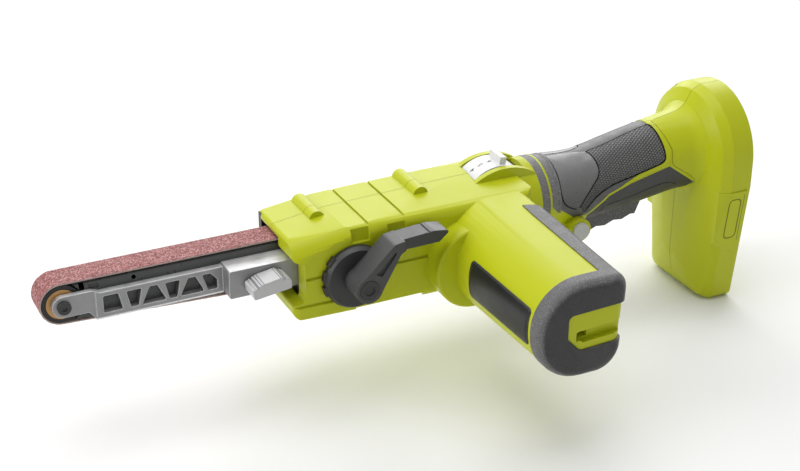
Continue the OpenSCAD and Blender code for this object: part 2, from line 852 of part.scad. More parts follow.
module plate_screws() {
    color(steel) place()
        for (p = plate_screw_places)
            translate([p[0], 0, p[1]])
                pan_screw(plate_screw_r, plate_screw_r + 1, gearplate_y0 - 7.5, gearplate_y1, 0.5);
}

module drive_bearings() {
    color(steel) place() {
        ring(bearing_r, drive_shaft_r + run_gap, bearing_y0, bearing_y1, drive_x, drive_z);
        ring(bearing_r, drive_shaft_r + run_gap, gearplate_y0 + 0.1, gearplate_y1 - 0.1, drive_x, drive_z);
    }
}

// Motor pieces are drawn on the motor's axis
module on_motor() {
    place() translate([motor_x, 0, motor_z]) children();
}

module motor_can() {
    color(grey) on_motor() difference() {
        bar(can_r, can_back, motor_front);
        bar(can_r - can_wall, can_back - 1, motor_front - 4);
        bar(rotor_bearing_r, can_back, motor_front + 1);
    }
}

magnet_in = can_r - can_wall - 3.7;
armature_r = magnet_in - 0.8;
module motor_magnets() {
    color(black) on_motor()
        for (a = [30, 210])
            rotate([90, a, 0]) translate([0, 0, -motor_front + 6]) rotate_extrude(angle = 120)
                translate([magnet_in, 0]) square([can_r - can_wall - magnet_in, can_len - 12]);
}

commutator_r = 5;
module brush_cap() {
    color(dark) on_motor() difference() {
        union() {
            bar(can_r, brush_back, can_back);
            for (s = [0, 180])
                rotate([0, s, 0]) box(commutator_r + 0.3, commutator_r + 4.5, can_back - 1, can_back + 6, -2, 2);
        }
        bar(rotor_bearing_r, brush_back - 1, brush_back + rotor_bearing_t);
        bar(motor_shaft_r + 1, brush_back - 1, can_back + 1);
        for (a = [45:90:315])
            rotate([0, a, 0]) translate([can_r - 6.8, 0, 0]) bar(2.5, brush_back - 1, can_back + 1);
    }
}

module rotor_bearings() {
    color(steel) on_motor() {
        ring(rotor_bearing_r, motor_shaft_r + run_gap, motor_front - 4, motor_front - 0.3);
        ring(rotor_bearing_r, motor_shaft_r + run_gap, brush_back, brush_back + rotor_bearing_t);
    }
}

// Window in the bumper through which the vent cover shows
function vent_window(inset) = let (r = barrel_end_r) rounded([
    [-0.384 * r + inset, 0.49 * r - inset, 3], [2 * r, 0.57 * r - inset, 0], [2 * r, -0.287 * r + inset, 0],
    [-0.089 * r + inset, -0.363 * r + inset, 2.5], [-0.384 * r + inset, -0.042 * r + inset, 2.5]
]);

// Bumper's rounded end, about the motor's axis
module bumper_form(inset) {
    hull() {
        along_y(bumper_front - 0.1, bumper_front) polygon(barrel_section(1, inset - bumper_proud));
        for (a = [0:22.5:90])
            let (y = -barrel_reach + inset + bumper_round * (1 - sin(a)))
            let (in = inset - bumper_proud + bumper_round * (1 - cos(a)))
            along_y(y, y + 0.1) polygon(barrel_section(1, in));
    }
}

// Strip that runs from the bumper back along the barrel's upper rear corner, to a point
module bumper_strip() {
    tip = collar_end + 1;
    strip_x = barrel_r - 13.4;
    difference() {
        intersection() {
            barrel_form(-bumper_proud);
            translate([motor_x, 0, motor_z]) box(0, far, -far, 0, barrel_top - 15.1, far);
            translate([motor_x, 0, -far / 2]) linear_extrude(far) polygon([
                [strip_x, bumper_front - 0.5], [strip_x, tip - 12], [strip_x + 0.4, tip],
                [2 * barrel_r, tip - 14], [2 * barrel_r, bumper_front - 0.5]
            ]);
        }
        barrel_form(0);
    }
}

module motor_bumper() {
    color(dark) {
        on_motor() difference() {
            bumper_form(0);
            along_y(barrel_back, bumper_front + 1) polygon(barrel_section(1, bumper_lip));
            bar(fan_bay_r, barrel_back - 0.6, bumper_front);
            along_y(-far, barrel_back) polygon(vent_window(0));
        }
        place() bumper_strip();
    }
}

module vent_cover() {
    color(lime) on_motor() difference() {
        union() {
            bar(fan_bay_r - seat_gap, barrel_back - 0.5, barrel_back + 4.5);
            intersection() {
                along_y(-far, barrel_back) polygon(vent_window(seat_gap));
                bumper_form(0.9);
            }
        }
        along_y(-far, -barrel_reach + 4.4)
            polygon(rounded([[-4.6, 1.6, 1], [40, 4.2, 0], [40, -3, 0], [-0.6, -4.6, 1]]));
        box(-4, 3.4, -far, far, -3.4, 1.3);
        for (i = [-2:2])
            translate([i * 0.39 * can_r, 0, 0]) box(-1.6, 1.6, barrel_back + 1, far, -can_r / 2, can_r / 2);
    }
}

module neck_band() {
    color(dark) place() difference() {
        intersection() {
            handle_form(0, 1.5, 3.5);
            box(neck_x + band_front, neck_x + band_back, -far, far, -far, far);
        }
        handle_form(skin, 1, 4);
    }
}

// A skin of the handle's own form inside a side outline, in two halves that meet at the parting plane
module grip_skin(first, last) {
    difference() {
        intersection() {
            handle_form(0, first, last);
            along_y(-far, far) children();
        }
        handle_form(skin, first, last);
    }
}

module upper_grip() {
    color(dark) place() difference() {
        grip_skin(2, 7) upper_panel();
        bar(boss_r, -far, far, button_x, button_z);
        for (i = [2, 3])
            bar(screw_head_r + 0.3, screw_head_y, far, screw_places[i][0], screw_places[i][1]);
    }
}

module lower_grip() {
    color(dark) place() difference() {
        grip_skin(3, 9) lower_panel();
        bar(boss_r, -far, far, button_x, button_z);
        box(slot_x0, slot_x1, -trigger_slot, trigger_slot, -far, slot_top);
        foot_plate();
    }
}

module trigger_pin() {
    color(steel) place() bar(pin_r, -pin_half, pin_half, pin_x, pin_z);
}

module trigger_switch() {
    color(black) place() {
        grow_box(switch_box(), 0);
        switch_peg(0);
    }
}

module speed_board() {
    b = board_box();
    color(board_green) place() {
        box(b[0][0], b[0][1], b[1][0], b[1][1], b[2][0], b[2][0] + 1.6);
        for (y = [-5, 3])
            box(b[0][0] + 4, b[0][0] + 12, y, y + 4, b[2][0] + 1.5, b[2][1] - 0.5);
    }
}

module battery_contacts() {
    color(copper) place() {
        grow_box(contact_box(), 0);
        for (s = [-1, 1])
            box(socket_x - 1, socket_x + 9, s * 11.2 - 0.4, s * 11.2 + 0.4, seat_z - 4, seat_z + 4);
    }
}

// Tension spring: one wire wound round its axis, from the carriage's lug to the housing
module tension_spring() {
    per_turn = 10;
    sides = 6;
    steps = spring_turns * per_turn;
    reach = spring_x1 - spring_x0 - 2 * spring_wire - 0.02;
    points = [
        for (k = [0:steps], j = [0:sides - 1])
            let (a = 360 * k / per_turn, b = 360 * j / sides, q = spring_r + spring_wire * cos(b))
            [spring_x0 + spring_wire + 0.01 + reach * k / steps + spring_wire * sin(b),
                spring_y + q * cos(a), spring_z + q * sin(a)]
    ];
    walls = [for (k = [0:steps - 1], j = [0:sides - 1]) each
        let (a = k * sides + j, b = a + sides, c = (k + 1) * sides + (j + 1) % sides, d = k * sides + (j + 1) % sides)
        [[a, d, c], [a, c, b]]];
    ends = [[for (j = [sides - 1:-1:0]) j], [for (j = [0:sides - 1]) steps * sides + j]];
    color(steel) place() polyhedron(points, concat(walls, ends));
}

module dial_axle() {
    color(steel) place() bar(dial_axle_r, -dial_half - 3, dial_half + 3, dial_x, dial_z);
}

// Arm: truss plate, tongue, block and carriage in one casting
truss_bot = -truss_drop;
tongue_step = 0.9;
tongue_out = plate_out + tongue_step;
function truss_side() = rounded([
    [0, tongue_r, 0], [truss_x - 2, tongue_r, 1], [truss_x + 2, truss_top, 1], [block_x + 2, truss_top, 0],
    [block_x + 2, truss_bot, 0], [truss_x - 1, truss_bot, 1.5], [truss_x - 4, -tongue_r, 1.5], [0, -tongue_r, 0]
]);
window_top = truss_top - 2.2;
window_low = truss_bot + 2.2;
truss_pitch = 9.8;
first_window = truss_x + 3;
module truss_windows() {
    lean = 2.9;
    rim = 0.8;
    polygon(rounded([
        [first_window, window_low, rim], [first_window, window_top, rim],
        [first_window + 7.6, window_top, rim], [first_window + 9.6, window_low, rim]
    ]));
    for (i = [0:3]) {
        mid = first_window + 15.5 + i * truss_pitch;
        s = i % 2 == 0 ? 1 : -1;
        polygon(rounded([
            [mid - 3.6 + s * 1.2 - lean / 2, i % 2 == 0 ? window_top : window_low, rim],
            [mid + 3.6 - s * 1.2 + lean / 2, i % 2 == 0 ? window_top : window_low, rim],
            [mid + 1.9, i % 2 == 0 ? window_low : window_top, rim],
            [mid - 1.9, i % 2 == 0 ? window_low : window_top, rim]
        ]));
    }
    last = first_window + 15.5 + 4 * truss_pitch - 3.2;
    polygon(rounded([
        [last - 1.2, window_top, rim], [last + 3, window_top, rim], [last + 6.5, window_top - 4, rim],
        [last + 6.5, window_low, rim], [last + 1.6, window_low, rim]
    ]));
}

module arm_frame() {
    color(grey) place() difference() {
        union() {
            along_y(plate_out, plate_in) circle(tongue_r);
            along_y(plate_out, plate_in) difference() {
                polygon(truss_side());
                truss_windows();
            }
            along_y(block_out, plate_in) polygon(rounded([
                [block_x, block_bot, 1], [block_x, block_top, 1.2], [car_x0 + 1, block_top, 0], [car_x0 + 1, block_bot, 0]
            ]));
            difference() {
                box(car_x0, car_x1, block_out, plate_in, car_bot, car_top);
                box(window_front, window_back, block_out - 1, plate_in + 1, lever_z - window_half, lever_z + window_half);
                box(lever_x, lever_x + shaft_r + slide_gap, block_out - 1, shaft_end + slide_gap,
                    lever_z - shaft_r - slide_gap, lever_z + shaft_r + slide_gap);
            }
            box(lug_x, lug_x + lug_t, spring_y - spring_r - 0.4, block_out + 1, spring_z - 3, car_top);
        }
        box(-far, truss_x - 0.5, plate_out - 1, tongue_out, -far, far);
        bar(nose_axle_r, -far, far);
        bar(track_r + run_gap, block_out - 1, plate_out + 0.5, knob_x, knob_z);
        for (x = platen_screw_x)
            bar(platen_screw_r, plate_out - 1, plate_in + 1, x, 0);
    }
}

// Platen rail: an upturned channel that backs the belt's upper run
rail_x0 = 6;
rail_x1 = mouth_x + 34;
rail_wall = 1.4;
rail_round = 4;
rail_top = nose_in - 0.4;
module platen_rail() {
    color(black) place() difference() {
        along_x(rail_x0, rail_x1) polygon(rounded([
            [plate_in, truss_bot, 0], [plate_in, rail_top, rail_round],
            [half_belt - 0.4, rail_top, 0.8], [half_belt - 0.4, truss_bot, 0]
        ]));
        along_x(rail_x0 - 1, rail_x1 + 1) polygon(rounded([
            [plate_in + rail_wall, truss_bot - 1, 0], [plate_in + rail_wall, rail_top - 1.5, rail_round - rail_wall],
            [half_belt - 0.4 - rail_wall, rail_top - 1.5, 0], [half_belt - 0.4 - rail_wall, truss_bot - 1, 0]
        ]));
        box(rail_x0 + 2.8, rail_x0 + 5.6, plate_in - 1, plate_in + 3.4, truss_top + 0.6, far);
        box(rail_x0 + 7.4, rail_x0 + 12.6, plate_in - 1, plate_in + 0.8, truss_top + 0.9, rail_top - 1.8);
        bar(1.2, plate_in - 1, plate_in + 4, rail_x0 + 30, truss_top + 2.5);
        bar(nose_r + 1, -far, far);
        for (x = platen_screw_x)
            bar(platen_screw_r, plate_in - 1, plate_in + rail_wall + 1, x, 0);
    }
}

platen_t = 0.7;
module lower_platen() {
    color(steel) place() box(rail_x0 + 9, block_x, plate_out, half_belt - 0.4, truss_bot - platen_t, truss_bot);
}

nose_axle_r = 2.5;
module nose_axle() {
    color(black) place() {
        bar(nose_axle_r, tongue_out - 0.1, half_belt + 0.6);
        difference() {
            bar(3.4, tongue_out - 1.6, tongue_out);
            bar(1.6, tongue_out - 2, tongue_out - 0.8);
        }
        bar(4.2, half_belt + 0.5, half_belt + 1.6);
    }
}

platen_screw_r = 1.2;
platen_screw_x = [block_x + 5, block_x + 35];
module platen_screws() {
    color(steel) place()
        for (x = platen_screw_x)
            bar(platen_screw_r, plate_out + 0.2, plate_in + rail_wall + 1, x, 0);
}

hub_r = 7.7;
module nose_hub() {
    color(tan_hub) place() ring(hub_r, nose_axle_r + run_gap, -half_belt - 0.2, half_belt + 0.2);
}

module nose_tyre() {
    color(black) place() ring(nose_r, hub_r, -half_belt, half_belt);
}

// Tracking knob: a bar that leans a little, with gripping grooves at both ends
knob_x = block_x + 18;
knob_z = -1.7;
knob_in = block_out - 0.5;
knob_out = knob_in - 12;
track_r = 2;
module tracking_knob() {
    color(pale) place() translate([knob_x, 0, knob_z]) rotate([0, -6.5, 0]) difference() {
        along_y(knob_out, knob_in) polygon(rounded([
            [-10.2, -3.6, 1], [10, -3.2, 1], [10.2, 1.4, 1], [5.6, 4.1, 1], [-4.2, 3.6, 1], [-10.2, 1.6, 1]
        ]));
        for (x = [-8.9, -7.3, 6.6, 7.9, 9.2])
            translate([x, 0, x < 0 ? 2.3 : 2.9]) rotate([0, x < 0 ? -18 : 30, 0])
                box(-0.3, 0.3, knob_out - 1, knob_in + 1, -0.6, 3);
        bar(track_r, knob_in - 6, knob_in + 1);
    }
}

module tracking_screw() {
    color(steel) place() bar(track_r, knob_in - 5.9, plate_out + 0.2, knob_x, knob_z);
}

// Tension lever: a bent arm that ends in a flat tab
module on_lever() {
    place() translate([lever_x, 0, lever_z]) children();
}

module tension_lever() {
    color(dark) on_lever() difference() {
        union() {
            bar(7.2, lever_out, lever_in);
            along_y(lever_out, lever_in) polygon(rounded([
                [-6.2, 3.4, 0], [13.8, 22.2, 4], [20, 23.2, 1], [20, 17.8, 1], [17.4, 16.6, 3], [6.2, -3.2, 0]
            ]));
            along_y(lever_out + 3, lever_in) polygon(rounded([
                [16, 22.4, 1], [37, 23.9, 1], [46, 22.5, 1], [40, 17.2, 1], [17, 16.8, 1]
            ]));
        }
        bar(shaft_r, lever_out + cap_t - eps, lever_in + 1);
        bar(cap_r, lever_out - 1, lever_out + cap_t);
        along_y(lever_out - 1, lever_out + 1.4) polygon(rounded([
            [3.4, 8, 0.6], [14.4, 18.2, 0.4], [14.8, 16.9, 0.4], [7, 6.2, 0.6]
        ]));
        box(33.5, 34.7, lever_out - 1, lever_in + 1, 23.2, 30);
    }
}

module lever_disc() {
    color(black) on_lever() difference() {
        union() {
            turned(0, 0) polygon([
                [0, -disc_in], [disc_r, -disc_in], [disc_r, -disc_in + 2.4], [disc_r - 1.4, -lever_in], [0, -lever_in]
            ]);
            for (a = [140, 168, 196])
                rotate([0, -a, 0]) box(disc_r - 1.5, disc_r + 1.1, lever_in + 1.6, disc_in, -2.6, 2.6);
        }
        bar(shaft_r, -far, far);
    }
}

module cam_shaft() {
    color(steel) on_lever() {
        bar(shaft_r, lever_out + cap_t, shaft_end);
        bar(cam_r, cam_y0, cam_y1, -cam_offset, 0);
    }
}

module lever_cap() {
    color(black) on_lever() difference() {
        bar(cap_r, lever_out - 0.4, lever_out + cap_t);
        bar(2.8, lever_out - 1, lever_out + 0.4);
    }
}

// Drive shaft with its roller and gear
module drive_shaft() {
    color(steel) place() bar(drive_shaft_r, bearing_y0 + 0.1, half_belt + 0.4, drive_x, drive_z);
}

lagging = 2.5;
module drive_roller() {
    color(grey) place() ring(drive_r - lagging, drive_shaft_r, -half_belt, half_belt, drive_x, drive_z);
}

module drive_tyre() {
    color(black) place() ring(drive_r, drive_r - lagging, -half_belt, half_belt, drive_x, drive_z);
}

module drive_gear() {
    color(steel) place() translate([drive_x, 0, drive_z]) along_y(gear_y0, gear_y1) difference() {
        rotate(gear_tilt) gear_outline(gear_teeth);
        circle(drive_shaft_r);
        for (a = [0:60:300])
            rotate(a) translate([gear_r * 0.58, 0]) circle(gear_r * 0.17);
    }
}

// Rotor: shaft, armature, commutator, fan and pinion
module motor_shaft() {
    color(steel) on_motor() bar(motor_shaft_r, fan_back - 0.5, gear_y1 + 0.2);
}

module armature() {
    color(copper) on_motor() difference() {
        bar(armature_r, can_back + 9, motor_front - 8);
        bar(motor_shaft_r, -far, far);
        for (a = [0:60:300])
            rotate([0, a, 0]) box(armature_r - 3, armature_r + 1, -far, far, -0.8, 0.8);
    }
}

module commutator() {
    color(copper) on_motor() ring(commutator_r, motor_shaft_r, can_back + 1, can_back + 8.5);
}

module cooling_fan() {
    fan_r = can_r - 0.4;
    color(dark) on_motor() difference() {
        union() {
            bar(fan_r, fan_front - 1.6, fan_front);
            bar(4, fan_back, fan_front);
            for (a = [0:30:330])
                rotate([0, a, 0]) box(3, fan_r - 0.6, fan_back, fan_front - 1, -0.6, 0.6);
        }
        bar(motor_shaft_r, -far, far);
    }
}

module pinion() {
    tooth_shift = pinion_teeth % 2 == 0 ? 180 / pinion_teeth : 0;
    color(steel) on_motor() along_y(gear_y0 - 0.2, gear_y1 + 0.2) difference() {
        rotate(gear_tilt + tooth_shift) gear_outline(pinion_teeth);
        circle(motor_shaft_r);
    }
}

// Trigger: a paddle with finger waves, hung from its pin
module trigger() {
    color(black) place() translate([pin_x, 0, pin_z]) difference() {
        union() {
            bar(trigger_boss, -trigger_w, trigger_w);
            along_y(-trigger_w, trigger_w) polygon(concat(
                [[0, 3.4], [-33 * handle_k, -5], [-35.4 * handle_k, -9]],
                [for (i = [0:12]) let (x = (-35.4 + i * 2.8) * handle_k)
                    [x, -17.2 + 4.6 * (i / 12) - 0.7 * sin(i * 90)]],
                [[2.6, -2.4]]
            ));
        }
        bar(pin_r + run_gap, -far, far);
    }
}

module lock_button() {
    color(pale) place() translate([button_x, 0, button_z]) difference() {
        bar(button_r, -boss_half - button_out, boss_half + button_out);
        for (s = [-1, 1])
            translate([0, s * (boss_half + button_out + 23.6), 0]) sphere(24, $fn = 96);
    }
}

module speed_dial() {
    color(pale) place() translate([dial_x, 0, dial_z]) difference() {
        union() {
            ring(dial_r, dial_r - 3, -dial_half, dial_half);
            bar(dial_r - 2, -2, 2);
            bar(5.5, -dial_half, dial_half);
            rotate([0, rib_lean - 90, 0]) box(dial_r - 1, dial_r + rib_out, -rib_half, rib_half, -rib_t, rib_t);
        }
        bar(dial_axle_r + run_gap, -far, far);
        for (s = [-1, 1])
            rotate([0, s * 66, 0]) box(s > 0 ? 0 : -far, s > 0 ? far : 0, -far, far, -far, -7);
    }
}

left_housing();
right_housing();
belt_cover();
cover_screws();
housing_screws();
sanding_belt();
gear_plate();
plate_screws();
drive_bearings();
motor_can();
motor_magnets();
brush_cap();
rotor_bearings();
motor_bumper();
vent_cover();
neck_band();
upper_grip();
lower_grip();
trigger_pin();
trigger_switch();
speed_board();
battery_contacts();
tension_spring();
dial_axle();
arm_frame();
platen_rail();
lower_platen();
nose_axle();
platen_screws();
nose_hub();
nose_tyre();
tracking_knob();
tracking_screw();
tension_lever();
lever_disc();
cam_shaft();
lever_cap();
drive_shaft();
drive_roller();
drive_tyre();
drive_gear();
motor_shaft();
armature();
commutator();
cooling_fan();
pinion();
trigger();
lock_button();
speed_dial();
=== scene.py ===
import json
import math

import bmesh
import bpy
from mathutils import Matrix, Vector, noise
from mathutils.bvhtree import BVHTree

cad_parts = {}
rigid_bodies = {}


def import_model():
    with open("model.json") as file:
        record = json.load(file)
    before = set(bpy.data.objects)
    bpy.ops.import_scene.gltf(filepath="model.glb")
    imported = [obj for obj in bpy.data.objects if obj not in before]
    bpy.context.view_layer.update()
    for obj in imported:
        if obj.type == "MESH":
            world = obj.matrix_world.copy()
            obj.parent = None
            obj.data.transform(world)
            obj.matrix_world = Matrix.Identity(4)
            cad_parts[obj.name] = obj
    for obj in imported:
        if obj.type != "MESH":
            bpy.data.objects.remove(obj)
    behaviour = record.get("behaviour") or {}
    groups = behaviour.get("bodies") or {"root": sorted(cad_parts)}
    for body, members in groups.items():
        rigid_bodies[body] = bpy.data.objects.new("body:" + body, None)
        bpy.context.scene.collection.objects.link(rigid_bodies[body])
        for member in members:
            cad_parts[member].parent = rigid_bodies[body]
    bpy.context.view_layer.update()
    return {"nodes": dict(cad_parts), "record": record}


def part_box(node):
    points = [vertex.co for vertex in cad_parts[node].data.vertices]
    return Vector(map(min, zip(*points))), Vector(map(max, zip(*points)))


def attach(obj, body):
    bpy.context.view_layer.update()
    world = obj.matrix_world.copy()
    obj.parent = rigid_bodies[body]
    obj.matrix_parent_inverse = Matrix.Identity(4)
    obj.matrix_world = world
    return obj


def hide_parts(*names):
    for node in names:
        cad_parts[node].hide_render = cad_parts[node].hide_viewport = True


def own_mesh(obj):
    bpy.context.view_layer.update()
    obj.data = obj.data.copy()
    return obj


for leftover in list(bpy.data.objects):
    bpy.data.objects.remove(leftover)
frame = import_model()
nodes = frame["nodes"]
MM = 0.001
UP, DOWN = Vector((0, 0, 1)), Vector((0, 0, -1))


# Materials

class Finish:
    """A Principled material, with short calls for the nodes that give it grain, wear and soft edges."""

    def __init__(self, name, colour, rough, metal=0.0, specular=0.5):
        self.mat = bpy.data.materials.new(name)
        self.mat.use_nodes = True
        self.tree = self.mat.node_tree
        self.bsdf = self.tree.nodes["Principled BSDF"]
        self.bsdf.inputs["Metallic"].default_value = metal
        self.bsdf.inputs["Specular IOR Level"].default_value = specular
        self.place = self.add("ShaderNodeTexCoord").outputs["Object"]
        self.colour = self.rgb(colour)
        self.rough = rough
        self.normal = None

    def add(self, kind, **inputs):
        made = self.tree.nodes.new(kind)
        for key, value in inputs.items():
            self.put(made.inputs[key.replace("_", " ")], value)
        return made

    def put(self, socket, value):
        if isinstance(value, bpy.types.NodeSocket):
            self.tree.links.new(value, socket)
        else:
            socket.default_value = value

    def rgb(self, colour):
        made = self.add("ShaderNodeRGB")
        made.outputs[0].default_value = (*colour, 1)
        return made.outputs[0]

    def noise(self, size, detail=2.0, soft=0.5, stretch=(1, 1, 1)):
        """Soft noise from 0 to 1 with spots of about size mm."""
        place = self.add("ShaderNodeMapping", Vector=self.place, Scale=stretch).outputs[0]
        made = self.add("ShaderNodeTexNoise", Vector=place, Scale=1 / (size * MM), Detail=detail, Roughness=soft)
        return made.outputs["Fac"]

    def cells(self, size, what="Distance"):
        """Voronoi cells of about size mm."""
        return self.add("ShaderNodeTexVoronoi", Vector=self.place, Scale=1 / (size * MM)).outputs[what]

    def span(self, value, low, high, to_low=0.0, to_high=1.0):
        made = self.add("ShaderNodeMapRange")
        made.clamp = True
        for key, v in zip(("Value", "From Min", "From Max", "To Min", "To Max"), (value, low, high, to_low, to_high)):
            self.put(made.inputs[key], v)
        return made.outputs["Result"]

    def maths(self, op, a, b=0.0):
        made = self.add("ShaderNodeMath")
        made.operation = op
        self.put(made.inputs[0], a)
        self.put(made.inputs[1], b)
        return made.outputs[0]

    def mix(self, fac, a, b):
        made = self.add("ShaderNodeMix")
        made.data_type = "RGBA"
        self.put(made.inputs["Factor"], fac)
        self.put(made.inputs[6], a)
        self.put(made.inputs[7], b)
        return made.outputs[2]

    def tint(self, fac, colour):
        self.colour = self.mix(fac, self.colour, self.rgb(colour))

    def soften(self, radius):
        """Rounds the corners that the light sees, and returns how much of a corner each point is."""
        made = self.add("ShaderNodeBevel", Radius=radius * MM)
        made.samples = 6
        self.normal = made.outputs[0]
        flat = self.add("ShaderNodeNewGeometry").outputs["Normal"]
        dot = self.add("ShaderNodeVectorMath")
        dot.operation = "DOT_PRODUCT"
        self.put(dot.inputs[0], self.normal)
        self.put(dot.inputs[1], flat)
        return self.span(dot.outputs["Value"], 1.0, 0.86)

    def bump(self, height, depth):
        """Raises the surface by height (0 to 1) times depth mm."""
        made = self.add("ShaderNodeBump", Height=height, Distance=depth * MM, Strength=1.0)
        if self.normal is not None:
            self.put(made.inputs["Normal"], self.normal)
        self.normal = made.outputs[0]

    def facing(self, side, low, high):
        """0 to 1 for faces that turn towards side, a direction in the part's own frame."""
        turned = self.add("ShaderNodeVectorMath")
        turned.operation = "DOT_PRODUCT"
        self.put(turned.inputs[0], self.add("ShaderNodeNewGeometry").outputs["Normal"])
        turned.inputs[1].default_value = side
        return self.span(turned.outputs["Value"], low, high)

    def vary(self, amount, size):
        """Uneven gloss: the roughness wanders by amount over spots of size mm."""
        self.rough = self.span(self.noise(size, 3), 0.3, 0.7, self.rough - amount, self.rough + amount)

    def done(self):
        self.put(self.bsdf.inputs["Base Color"], self.colour)
        self.put(self.bsdf.inputs["Roughness"], self.rough)
        if self.normal is not None:
            self.put(self.bsdf.inputs["Normal"], self.normal)
        return self.mat


def moulded(name, colour, rough, edge, grain=0.45, depth=0.012, specular=0.5):
    """Moulded plastic: fine spark grain, faint clouding, and a patchy painted highlight on the corners."""
    f = Finish(name, colour, rough, specular=specular)
    corner = f.soften(0.45)
    f.tint(f.span(f.noise(14, 3), 0.35, 0.75, 0, 0.1), [c * 0.86 for c in colour])
    # painted highlight: the corners are lightened towards the edge colour, broken up by noise
    corner_highlight_mask = f.maths("MULTIPLY", corner, f.span(f.noise(3, 4), 0.4, 0.7, 0.15, 0.35))
    f.tint(corner_highlight_mask, edge)
    f.vary(0.05, 6)
    f.bump(f.noise(grain, 2), depth)
    return f.done()


def rubber(name, colour, rough, grain=0.5, depth=0.05, grain_glint=0.16, shaded_side=None, specular=0.4, painted_top_light=None):
    """Soft overmoulding: pebbled grain whose tops carry painted highlights; given the options, faces turned up get
    painted light, and faces towards one side get painted shade with fewer highlights.
    """
    f = Finish(name, colour, rough, specular=specular)
    f.soften(0.5)
    pebble = f.noise(grain, 2, 0.6)
    shown = grain_glint
    # painted light: faces turned up are lightened
    if painted_top_light:
        f.tint(f.facing(UP, 0.0, 0.85), painted_top_light)
    # painted shade: faces towards the given side are darkened and lose most of the grain highlights
    if shaded_side:
        side_shade_mask = f.facing(shaded_side, 0.72, 0.93)
        f.tint(side_shade_mask, [c * 0.24 for c in colour])
        shown = f.span(side_shade_mask, 0, 1, grain_glint, grain_glint * 0.12)
    # painted highlight on the tops of the pebble grain
    bright = f.maths("MULTIPLY", f.span(pebble, 0.5, 0.72), shown)
    f.tint(bright, [min(1, c * 3.5 + 0.1) for c in colour])
    f.tint(f.span(f.noise(11, 3), 0.4, 0.7, 0, 0.2), [c * 0.75 for c in colour])
    f.vary(0.06, 5)
    f.bump(pebble, depth)
    return f.done()


def metal(name, colour, rough, edge=0.25, grain=0.6, depth=0.015, shine=1.0, stretch=(1, 1, 1), corner=0.3,
          painted_top_tint=None):
    """Bare or coated metal: fine tooling grain, painted highlights on the corners, a trace of grime, and a top
    painted lighter where the light falls.
    """
    f = Finish(name, colour, rough, metal=shine)
    rim = f.soften(corner)
    # painted light: faces turned up are lightened
    if painted_top_tint:
        f.tint(f.facing(UP, 0.8, 0.97), painted_top_tint)
    f.tint(f.span(f.noise(7, 4), 0.45, 0.75, 0, 0.3), [c * 0.7 for c in colour])
    # painted highlight on the corners
    f.tint(f.maths("MULTIPLY", rim, edge), [min(1, c * 2.2 + 0.12) for c in colour])
    f.vary(0.08, 4)
    f.bump(f.noise(grain, 3, 0.6, stretch), depth)
    return f.done()


def grit():
    """Abrasive cloth: close-set reddish grains of several shades, with painted shade in the gaps between them."""
    grain_size = 0.64
    f = Finish("abrasive_cloth", (0.36, 0.115, 0.11), 0.6, specular=0.4)
    shade = f.add("ShaderNodeSeparateColor", Color=f.cells(grain_size, "Color")).outputs[0]
    f.tint(f.span(shade, 0.5, 0.95), (0.66, 0.34, 0.325))
    f.tint(f.span(shade, 0.42, 0.06), (0.14, 0.03, 0.036))
    grain_gap = f.cells(grain_size)
    # painted shade: darker towards the gaps between the grains
    f.tint(f.span(grain_gap, 0.45, 0.8, 0, 0.65), (0.10, 0.02, 0.024))
    f.tint(f.span(f.noise(5, 3), 0.45, 0.75, 0, 0.25), (0.26, 0.075, 0.075))
    f.vary(0.1, 1.2)
    f.bump(f.span(grain_gap, 0.75, 0.1), 0.26)
    return f.done()


def backing():
    """The belt's woven back and cut edge: pale drills of cotton."""
    f = Finish("belt_backing", (0.52, 0.43, 0.40), 0.8, specular=0.2)
    weave = f.maths("MULTIPLY", f.noise(0.5, 1, stretch=(6, 1, 6)), f.noise(0.5, 1, stretch=(1, 6, 1)))
    f.tint(f.span(weave, 0.15, 0.35, 0.5, 0), (0.36, 0.22, 0.20))
    f.bump(weave, 0.08)
    return f.done()


def weave():
    """Grip panel pressed with a twill: rows of slanting ribs, laid out in mm on the panel's own flat pattern, with
    painted highlights on the rib tops of faces turned up and painted shade in the valleys.
    """
    pitch, row_height, turn = 1.9, 1.25, math.radians(-24)
    stagger, slant = 0.5, 0.3
    f = Finish("grip_weave", (0.035, 0.035, 0.036), 0.34, specular=0.6)
    flat = f.add("ShaderNodeUVMap").outputs[0]
    turned = f.add("ShaderNodeMapping", Vector=flat, Rotation=(0, 0, turn)).outputs[0]
    split = f.add("ShaderNodeSeparateXYZ", Vector=turned)
    rows = f.maths("DIVIDE", split.outputs[1], row_height)
    within = f.maths("FRACT", rows)
    shifted = f.maths("MULTIPLY", f.maths("FLOOR", rows), stagger)
    phase = f.maths("ADD", f.maths("DIVIDE", split.outputs[0], pitch), shifted)
    phase = f.maths("ADD", phase, f.maths("MULTIPLY", within, slant))
    rib = f.span(f.maths("SINE", f.maths("MULTIPLY", phase, 2 * math.pi)), -0.7, 1.0)
    ridge = f.maths("SINE", f.maths("MULTIPLY", within, math.pi))
    raised = f.maths("MULTIPLY", rib, ridge)
    # painted highlight on the raised ribs, strongest on faces turned up
    painted_top_light = f.span(f.facing(UP, -0.05, 0.7), 0, 1, 0.15, 0.9)
    f.tint(f.maths("MULTIPLY", f.span(raised, 0.2, 0.95), painted_top_light), (0.22, 0.22, 0.225))
    # painted shade in the valleys between the ribs
    f.tint(f.span(raised, 0.25, 0.0, 0, 0.6), (0.024, 0.024, 0.025))
    f.vary(0.06, 4)
    f.bump(raised, 0.5)
    f.bump(f.noise(0.3, 2), 0.02)
    return f.done()


def shadow_gap():
    """The bottom of a moulded groove, where hardly any light reaches."""
    f = Finish("groove_floor", (0.006, 0.006, 0.006), 0.8, specular=0.1)
    f.bump(f.noise(0.4, 2), 0.03)
    return f.done()


